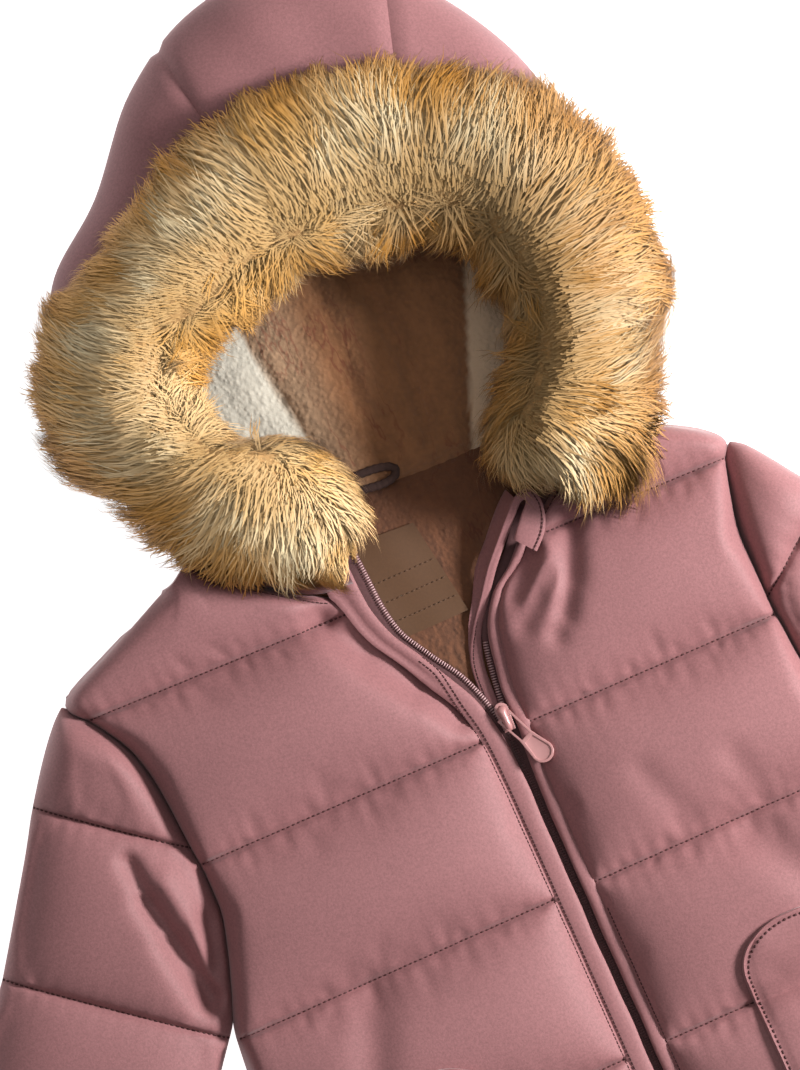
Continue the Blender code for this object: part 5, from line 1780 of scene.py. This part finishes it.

# %% [markdown]
# ## Wind guard
# Behind the zip runs a folded strip of shell cloth. At the top it climbs the open side and
# folds forward over the zip's end as a chin guard, with a row of stitches inside one edge.

# %% Wind guard
GUARD = ((2.5, 66, 10.2, 8, 66, 10.2), (2.5, 84, 10.2, 8, 82, 10.2), (4, 100, 10.3, 9, 97.5, 10.2),
         (10, 112, 11, 13.5, 110, 10.6), (17.8, 122, 13.5, 21.2, 120.5, 12.5),
         (25.7, 132.4, 17, 28.9, 130.6, 16), (33.4, 140.6, 20, 36.6, 139, 19.2),
         (40.5, 148, 22.5, 43.2, 145.8, 22), (46.8, 153.8, 24.4, 48, 150.6, 24),
         (52.5, 155.4, 25, 50.2, 151.2, 25), (55.3, 153, 24.6, 50, 149.8, 25),
         (56.3, 147.5, 24, 46.8, 146.5, 24.8), (54.9, 141, 23.4, 43.4, 142.8, 24.2),
         (51.7, 135.5, 22.8, 41, 140, 23.6), (46.4, 130.4, 22.2, 39.8, 138.4, 23))
GUARD_THICKNESS = 1.4
GUARD_COLUMNS = 11


def wind_guard():
    rows = smooth_rows(GUARD, 8)
    left, right = rows[:, None, :3], rows[:, None, 3:]
    share = (0.5 - 0.5 * np.cos(np.linspace(0, math.pi, GUARD_COLUMNS)))[None, :, None]
    line = left + (right - left) * share
    bulge = 0.35 * np.sin(math.pi * share[..., 0]) + 0.25
    groove = 0.28 * np.exp(-((share[..., 0] * np.linalg.norm(right - left, axis=-1) - 1.5) / 0.45) ** 2)
    round_off = np.sqrt(np.maximum(0.0, 1 - np.abs(2 * share[..., 0] - 1) ** 6))
    middle = line[..., 2] + GUARD_THICKNESS / 2
    outside, inside = line.copy(), line.copy()
    outside[..., 2] = middle + (0.2 + 0.8 * round_off) * GUARD_THICKNESS / 2 + bulge - groove
    inside[..., 2] = middle - (0.2 + 0.8 * round_off) * GUARD_THICKNESS / 2
    guard = walled("wind_guard_cloth", outside, inside, SHELL, angle=70)
    lay(guard, "wind_guard", "shell_cloth", ["neck_lining_pile", "front_left_cloth"], held="folded")
    return outside


GUARD_TOP = wind_guard()


def guard_facing():
    """The guard's inner layer, which shows as a band in shade along its open side."""
    rows = smooth_rows(GUARD[:9], 8)
    left = rows[:, :3]
    across = unit(np.concatenate([rows[:, :2] - rows[:, 3:5], np.zeros((len(rows), 1))], 1))
    shares = np.linspace(0, 1, 7)
    width = 5.5 * np.clip((rows[:, 1] - 98) / 34, 0.15, 1)[:, None, None]
    line = left[:, None] + across[:, None] * (shares[None, :, None] * width - 0.8)
    floor = np.minimum(FRONT_BASE + LINING_THICKNESS + 2.0, line[..., 2])
    outside, inside = line.copy(), line.copy()
    outside[..., 2] = line[..., 2] * (1 - shares) + floor * shares + 0.4
    inside[..., 2] = outside[..., 2] - 0.7
    facing = walled("guard_facing_cloth", outside, inside, SHELL, angle=70)
    lay(facing, "wind_guard", "shell_cloth", ["neck_lining_pile"], held="folded")


guard_facing()

# %% [markdown]
# ## Label and hanger loop
# The woven label inside the back neck is left bare but for its three dashed lines.

# %% Label
LABEL_CORNERS = ((-22.0, 120.0, 12.0, 120.0), (-22.0, 163.0, 6.0, 161.0))
LABEL_BASE = FRONT_BASE + LINING_THICKNESS + SEAM_GAP
LABEL_THICKNESS = 0.8
LABEL_LINES = (144.5, 136.0, 127.5)


def label_finish():
    satin = Shader("label_satin", Roughness=0.6)
    weave = satin.noise(900.0, 1.0)
    # the label's brown is made very dark: painted shade over the shaded back neck
    satin.set(Base_Color=satin.blend(weave, (0.083, 0.034, 0.011), (0.105, 0.044, 0.014)))
    satin.relief(weave, 0.2, 0.0001)
    return satin.material


def label_height(x, y):
    return LABEL_BASE + LABEL_THICKNESS + 0.5 + 0.35 * ripple(x, y, 26.0, 0.8)


def label_piece():
    u, v = np.meshgrid(np.linspace(0, 1, 22), np.linspace(0, 1, 26))
    (ax, ay, bx, by), (cx, cy, dx, dy) = LABEL_CORNERS
    x = (ax + u * (bx - ax)) * (1 - v) + (cx + u * (dx - cx)) * v
    y = (ay + u * (by - ay)) * (1 - v) + (cy + u * (dy - cy)) * v
    top = label_height(x, y)
    outside = np.stack([x, y, top], -1)
    inside = np.stack([x, y, top - LABEL_THICKNESS * 0.7], -1)
    label = walled("label_satin_woven", outside, inside, label_finish())
    lay(label, "label", "label_satin", ["neck_lining_pile"])


label_piece()


# %% Hanger loop
LOOP_PATH = ((-22, 187.5), (-12, 187.6), (0, 187), (6, 185.6), (8.2, 183.2), (6, 180.8), (0, 180.2),
             (-8, 181.4))
LOOP_WIDTH = 1.7
LOOP_HEIGHT = 1.1


def hanger_loop():
    """A flat braided ribbon bent back on itself; its ends go under the lining's seam."""
    path = smooth_line(LOOP_PATH, 60)
    tangent = unit(np.gradient(path, axis=0))
    side = np.stack([-tangent[:, 1], tangent[:, 0]], 1)
    angle = np.arange(12) * 2 * math.pi / 12
    find = height_finder(["hood_lining_pile", "neck_lining_pile"])
    base = max(find(*spot) or 0.0 for spot in path) + LOOP_HEIGHT * 0.6
    braid = 1 + 0.10 * np.sin(np.arange(len(path)) * 1.9)
    ring = path[:, None, :] + side[:, None, :] * (LOOP_WIDTH * np.cos(angle) * braid[:, None])[..., None]
    z = base + LOOP_HEIGHT * np.sin(angle) * braid[:, None]
    points = np.concatenate([ring, z[..., None]], -1)
    faces = grid_faces(*points.shape[:2], closed=True).tolist()
    last = (len(path) - 1) * 12
    faces += [list(range(12))[::-1], list(range(last, last + 12))]
    cloth = Shader("loop_ribbon", Roughness=0.9)
    rib = cloth.noise(800.0, 2.0)
    cloth.set(Base_Color=cloth.blend(rib, (0.03, 0.014, 0.012), (0.075, 0.035, 0.026)))
    cloth.relief(rib, 0.6, 0.0004)
    loop = add_piece("hanger_loop_ribbon", points, faces, cloth.material)
    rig.ride(loop, "root")
    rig.replaces(loop, "hanger_loop")
    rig.slot(loop, "loop_ribbon")


hanger_loop()

# %% [markdown]
# ## Pockets
# Each pocket is a patch with an arched top, cut from shell cloth and sewn on with a row
# just inside its folded edge. It lies on the quilted front, so it takes the front's height.

# %% Pockets
POCKET_CENTRE = 79.0
POCKET_HALF_WIDTH = 26.5
POCKET_SHOULDER = -61.0
POCKET_ARCH = 20.0
POCKET_FOOT = -122.5
POCKET_THICKNESS = 1.8
BODY_CENTRE = -2.0


def front_height(side):
    return height_finder([f"front_{side}_cloth"])


def pocket_outline(centre, count=64):
    """The pocket's edge from one foot over the arch to the other."""
    angle = np.linspace(math.pi, 0.0, count)
    arch = np.stack([centre + POCKET_HALF_WIDTH * np.cos(angle),
                     POCKET_SHOULDER + POCKET_ARCH * np.sin(angle) ** 0.85], 1)
    sides = np.linspace(POCKET_FOOT, POCKET_SHOULDER, 26)[:-1]
    right = np.stack([np.full_like(sides, centre - POCKET_HALF_WIDTH), sides], 1)
    left = np.stack([np.full_like(sides, centre + POCKET_HALF_WIDTH), sides[::-1]], 1)
    return np.concatenate([right, arch, left])


def pocket_piece(side):
    centre = POCKET_CENTRE if side == "left" else 2 * BODY_CENTRE - POCKET_CENTRE
    ground = front_height(side)
    rows = np.concatenate([np.linspace(POCKET_FOOT, POCKET_SHOULDER, 26),
                           POCKET_SHOULDER + POCKET_ARCH * np.sin(np.linspace(0.06, 1.5, 16))])
    rise = np.clip((rows - POCKET_SHOULDER) / POCKET_ARCH, 0, 0.997)
    half = POCKET_HALF_WIDTH * np.sqrt(1 - rise ** 2.35)
    share = -np.cos(np.linspace(0, math.pi, 27))
    x = centre + share * half[:, None]
    y = np.repeat(rows[:, None], len(share), 1)
    base = np.array([[ground(a, b) or FRONT_BASE for a, b in zip(*line)] for line in zip(x, y)])
    edge = np.minimum((1 - np.abs(share)) * half[:, None], np.minimum(y - POCKET_FOOT, (rows[-1] - y)))
    fullness = 1.3 * fall(np.maximum(edge - 3.0, 0.0), 12.0) * (1 + 0.4 * ripple(x, y, 24.0, 1.3))
    rim = 0.5 * np.exp(-((edge - 1.0) / 0.9) ** 2) - 0.35 * np.exp(-((edge - 2.2) / 0.6) ** 2)
    top = base + 0.5 + POCKET_THICKNESS * fall(edge, 0.8) + fullness + rim
    outside, inside = np.stack([x, y, top], -1), np.stack([x, y, base + 0.25], -1)
    pocket = walled(f"pocket_{side}_cloth", outside, inside, SHELL, angle=60)
    lay(pocket, "pocket_" + side, "shell_cloth", [f"front_{side}_cloth"])


for side in ("right", "left"):
    pocket_piece(side)

# %% [markdown]
# ## Slider and pull
# Both are zinc castings painted in the shell's colour, with a satin gloss. The CAD solids
# have the right shape, so copies of them get rounded edges. Only the bridge is made anew.

# %% Slider and pull
HINGE = np.array((7.7, 75.0, 18.2))


def paint_finish():
    paint = Shader("zip_paint", Roughness=0.33, Coat_Weight=0.25, Coat_Roughness=0.2)
    grain = paint.noise(420.0, 2.0)
    paint.set(Base_Color=paint.blend(grain, (0.40, 0.185, 0.18), (0.46, 0.22, 0.21)))
    paint.relief(grain, 0.08, 0.0001)
    return paint.material


def rounded_copy(node, name, finish, width):
    """A copy of a rigid CAD solid with its edges bevelled."""
    mesh = frame["nodes"][node].data.copy()
    work = bmesh.new()
    work.from_mesh(mesh)
    bmesh.ops.remove_doubles(work, verts=work.verts, dist=0.01 * MM)
    bmesh.ops.dissolve_limit(work, angle_limit=math.radians(2), verts=work.verts, edges=work.edges)
    bmesh.ops.recalc_face_normals(work, faces=work.faces)
    work.to_mesh(mesh)
    work.free()
    mesh.materials.clear()
    mesh.materials.append(finish)
    made = bpy.data.objects.new(name, mesh)
    SCENE.collection.objects.link(made)
    bevel = made.modifiers.new("round", "BEVEL")
    bevel.width, bevel.segments, bevel.limit_method = width * MM, 3, "ANGLE"
    bevel.angle_limit = math.radians(40)
    apply_modifiers(made)
    made.data.shade_smooth()
    made.data.set_sharp_from_angle(angle=math.radians(45))
    return made


def slider_bridge(finish):
    """The rounded bridge over the pull's bar, from the slider's nose to its tail."""
    around = np.arange(20) * 2 * math.pi / 20
    along = np.linspace(-1, 1, 25)
    points = []
    for t in along:
        body = math.sqrt(max(0.0, 1 - abs(t) ** 5))
        nose = 1.0 + 0.42 * math.exp(-((t - 0.72) / 0.25) ** 2)
        half, high = 1.55 * body * nose, 1.7 * body
        y = HINGE[1] - 0.6 + 5.6 * t
        z = HINGE[2] + 0.9 - 1.0 * abs(t) ** 3
        points += [(HINGE[0] + half * math.cos(a) - 0.08 * t, y, z + high * math.sin(a)) for a in around]
    faces = grid_faces(len(along), 20, closed=True)
    bridge = add_piece("zip_slider_bridge", points, faces, finish)
    work = bmesh.new()
    work.from_mesh(bridge.data)
    bmesh.ops.remove_doubles(work, verts=work.verts, dist=0.001 * MM)
    bmesh.ops.recalc_face_normals(work, faces=work.faces)
    work.to_mesh(bridge.data)
    work.free()
    return bridge


def slider_and_pull():
    finish = paint_finish()
    for node, width in (("zip_slider", 0.35), ("zip_pull", 0.28)):
        made = rounded_copy(node, node + "_painted", finish, width)
        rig.ride(made, "pull" if node == "zip_pull" else "root")
        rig.replaces(made, node)
        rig.slot(made, "zip_paint")
    bridge = slider_bridge(finish)
    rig.ride(bridge, "root")
    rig.slot(bridge, "zip_paint")


slider_and_pull()

# %% [markdown]
# ## Stitches and zip teeth
# Sewing is repeated along lines, so one Geometry Nodes tree places small shapes at a pitch
# along them. The lines lie on the finished cloth. Zip teeth are placed by the same tree.

# %% Tree for what repeats along a line
def row_tree():
    tree = Nodes("repeat_along_lines", Pitch="Float", Shape="Object")
    curve = tree.node("GeometryNodeMeshToCurve", Mesh=tree.given("Geometry"))
    spots = tree.node("GeometryNodeCurveToPoints", {"mode": "LENGTH"}, Curve=curve,
                      Length=tree.given("Pitch"))
    turn = tree.node("FunctionNodeAxesToRotation", {"primary_axis": "X", "secondary_axis": "Z"},
                     Primary_Axis=spots.node.outputs["Tangent"], Secondary_Axis=(0.0, 0.0, 1.0))
    shape = tree.node("GeometryNodeObjectInfo", Object=tree.given("Shape")).node.outputs["Geometry"]
    made = tree.node("GeometryNodeInstanceOnPoints", Points=spots, Instance=shape, Rotation=turn)
    return tree.close(made)


def bead(name, length, width, height, around=5):
    """A small rounded bar along X, of twenty triangles."""
    stops = ((-0.5, 0.0), (-0.3, 1.0), (0.3, 1.0), (0.5, 0.0))
    angle = np.arange(around) * 2 * math.pi / around
    points = [(stops[0][0] * length, 0, 0)]
    for place, size in stops[1:-1]:
        points += [(place * length, size * width / 2 * math.cos(a), size * height / 2 * math.sin(a))
                   for a in angle]
    points.append((stops[-1][0] * length, 0, 0))
    faces, last = [], len(points) - 1
    for index in range(around):
        after = (index + 1) % around
        faces.append((0, 1 + after, 1 + index))
        faces.append((1 + index, 1 + after, 1 + around + after, 1 + around + index))
        faces.append((1 + around + index, 1 + around + after, last))
    mesh = bpy.data.meshes.new(name)
    mesh.from_pydata((np.array(points) * MM).tolist(), [], faces)
    mesh.shade_smooth()
    return bpy.data.objects.new(name, mesh)


ROWS = row_tree()


def repeat(name, lines, pitch, shape, finish):
    """Place a shape at a pitch along every line of points."""
    points, edges = [], []
    for line in lines:
        first = len(points)
        points += [tuple(spot) for spot in line]
        edges += [(first + step, first + step + 1) for step in range(len(line) - 1)]
    mesh = bpy.data.meshes.new(name + "_line")
    mesh.from_pydata(((np.array(points) - ORIGIN) * MM).tolist(), edges, [])
    source = bpy.data.objects.new(name + "_line", mesh)
    SCENE.collection.objects.link(source)
    piece = ROWS.grow(source, name, Pitch=pitch * MM, Shape=shape, Finish=finish)
    remove(source)
    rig.ride(piece, "root")
    print(name, sum(len(face.vertices) - 2 for face in piece.data.polygons), "triangles")
    return piece


# %% Lines on the cloth
STITCH_PITCH = 2.2


def on_cloth(find, spots, lift=0.12):
    """Spots on a piece's surface, evened out so that stitches do not jump."""
    found = [(x, y, find(x, y)) for x, y in spots]
    line = np.array([spot for spot in found if spot[2] is not None])
    for turn in range(2):
        line[1:-1, 2] = (line[:-2, 2] + 2 * line[1:-1, 2] + line[2:, 2]) / 4
    line[:, 2] += lift
    return line


def dense(points, step=1.2):
    """A polyline with a point every step."""
    points = np.asarray(points, float)
    along = np.concatenate([[0], np.cumsum(np.linalg.norm(np.diff(points, axis=0), axis=1))])
    places = np.linspace(0, along[-1], max(2, int(along[-1] / step)))
    return np.stack([np.interp(places, along, column) for column in points.T], 1)


def body_quilting(side):
    find, lines = height_finder([f"front_{side}_cloth"]), []
    for row in (HEM_STITCH_ROW,) + QUILT_ROWS:
        x = np.linspace(float(front_edge[side](row)), float(body_edge[side](row)), 110)[1:-1]
        lines.append(on_cloth(find, zip(x, row_height(x, row))))
    return lines


def sleeve_quilting(side):
    sleeve, find, lines = SLEEVES[side], height_finder([f"sleeve_{side}_cloth"]), []
    for line in sleeve.lines() + [SLEEVE_LENGTH - CUFF_HEM]:
        top, under = float(sleeve.top(line)), float(sleeve.under(line))
        over = np.linspace(top + 0.8, under - 0.8, 80)
        spots = sleeve.tip + line * sleeve.along + over[:, None] * sleeve.across
        lines.append(on_cloth(find, spots))
    return lines


def back_quilting():
    find, lines = height_finder(["back_panel_cloth"], below=True), []
    for row in (HEM_STITCH_ROW,) + QUILT_ROWS:
        x = np.linspace(float(body_edge["right"](row)) + 3, float(body_edge["left"](row)) - 3, 160)
        lines.append(on_cloth(find, zip(x, row_height(x, row)), lift=-0.12))
    return lines


# %% Sewing
TOPSTITCH = ((-204, -3.0), (40, -3.0), (61.7, -3.3), (71.5, -4.0), (86.4, -6.9), (101.7, -9.6), (110, -13.6))
TOPSTITCH_GAP = 1.05


def thread_finish(name, colour):
    thread = Shader(name, Roughness=0.7)
    fibre = thread.noise(1500.0, 1.0)
    thread.set(Base_Color=thread.blend(fibre, tuple(c * 0.7 for c in colour), colour))
    thread.relief(fibre, 0.3, 0.0001)
    return thread.material


THREAD = thread_finish("thread_mauve", (0.075, 0.019, 0.020))
STITCH = bead("stitch", 1.65, 1.05, 0.7)
SMALL_STITCH = bead("small_stitch", 1.6, 0.6, 0.45)


def topstitch_lines():
    find = height_finder(["front_right_cloth", "placket_flap_cloth"])
    rows = np.arange(HEM_ROW + 1, TOPSTITCH[-1][0], 1.2)
    middle = np.stack([smooth_curve(TOPSTITCH)(rows), rows], 1)
    side = unit(np.gradient(middle, axis=0)) @ np.array(((0.0, 1.0), (-1.0, 0.0)))
    return [on_cloth(find, middle + side * gap, 0.2) for gap in (-TOPSTITCH_GAP, TOPSTITCH_GAP)]


def edge_lines():
    """Rows beside the neck seams, the armholes and the left front's lower edge."""
    lines = []
    for side, inwards in (("right", -1.0), ("left", 1.0)):
        find = height_finder([f"front_{side}_cloth"])
        neck = dense(NECK_LINES[side])
        across = unit(np.gradient(neck, axis=0)) @ np.array(((0.0, 1.0), (-1.0, 0.0)))
        across *= np.sign(across[:, :1]) * inwards
        lines.append(on_cloth(find, (neck + across * 2.0)[2:-4], 0.15))
    find = height_finder(["front_left_cloth", "placket_edge_cloth"])
    rows = np.arange(HEM_ROW + 2, -12.0, 1.2)
    edge = front_edge["left"](rows)
    lines.append(on_cloth(find, zip(edge + 1.2, row_height(edge, rows))))
    return lines


def guard_lines():
    width = np.linalg.norm(GUARD_TOP[:, -1] - GUARD_TOP[:, 0], axis=1)
    share = np.clip(1.5 / width, 0.1, 0.9)[:, None]
    left = GUARD_TOP[:, 0] + (GUARD_TOP[:, -1] - GUARD_TOP[:, 0]) * share
    left[:, 2] = GUARD_TOP[:, GUARD_COLUMNS // 2, 2] - 0.25
    return [left]


def pocket_lines():
    lines = []
    for side in ("right", "left"):
        centre = POCKET_CENTRE if side == "left" else 2 * BODY_CENTRE - POCKET_CENTRE
        outline = pocket_outline(centre)
        middle = np.array((centre, (POCKET_FOOT + POCKET_SHOULDER) / 2))
        shrink = 1 - 2.2 / np.array((POCKET_HALF_WIDTH, 46.0))
        route = dense(middle + (outline - middle) * shrink)
        lines.append(on_cloth(height_finder([f"pocket_{side}_cloth"]), route))
    return lines


def sew_everything():
    SCENE.collection.objects.link(STITCH)
    SCENE.collection.objects.link(SMALL_STITCH)
    quilting = [line for side in ("right", "left") for line in body_quilting(side) + sleeve_quilting(side)]
    repeat("quilting_stitches", quilting + back_quilting(), STITCH_PITCH, STITCH, THREAD)
    repeat("edge_stitches", topstitch_lines() + edge_lines(), 1.8, SMALL_STITCH, THREAD)
    repeat("pocket_stitches", pocket_lines(), 2.3, STITCH, THREAD)
    repeat("guard_stitches", guard_lines(), 1.6, SMALL_STITCH, THREAD)
    find = height_finder(["label_satin_woven"])
    label = []
    for y in LABEL_LINES:
        left, right = -20.5, 10.2 - (y - 120.0) * 6.0 / 41.0
        label.append(on_cloth(find, zip(np.linspace(left, right, 24), np.full(24, y)), 0.06))
    repeat("label_stitches", label, 2.1, SMALL_STITCH, thread_finish("thread_brown", (0.10, 0.045, 0.02)))
    remove(STITCH)
    remove(SMALL_STITCH)


sew_everything()

# %% Zip teeth
TOOTH_PITCH = 1.05
SLIDER_ROW = 71.0


def zip_teeth():
    plastic = Shader("zip_teeth", Roughness=0.3, Coat_Weight=0.2)
    tone = plastic.noise(900.0, 1.0)
    plastic.set(Base_Color=plastic.blend(tone, (0.40, 0.22, 0.22), (0.58, 0.38, 0.38)))
    tooth = bead("tooth", 0.62, COIL_WIDTH, 1.2)
    SCENE.collection.objects.link(tooth)
    small_tooth = bead("small_tooth", 0.62, 0.7 * COIL_WIDTH, 0.8)
    SCENE.collection.objects.link(small_tooth)

    def run(side, low, high):
        rows = np.arange(low, high, 1.2)
        x = STRIP_EDGES["coil_" + side](rows)
        return np.stack([x, row_height(x, rows), np.full_like(x, TAPE_BASE + TAPE_THICKNESS + 0.3)], 1)

    parted = [run("right", SLIDER_ROW, 163.0), run("left", SLIDER_ROW, 108.0)]
    repeat("zip_coils", parted, TOOTH_PITCH, tooth, plastic.material)
    # the meshed teeth below the slider take the tape's dark colour: painted shade in the deep gap
    meshed = [run(side, ZIP_FOOT, SLIDER_ROW) for side in ("right", "left")]
    repeat("zip_coils_closed", meshed, TOOTH_PITCH, small_tooth, PLUM_TAPE_AND_PAINTED_SHADE)
    remove(tooth)
    remove(small_tooth)


zip_teeth()

# %% Finish
with open("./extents.json", "w") as size_file:
    json.dump({"cad": CAD_BOX, "visual": [list(map(float, corner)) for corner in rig.bounds()]}, size_file)
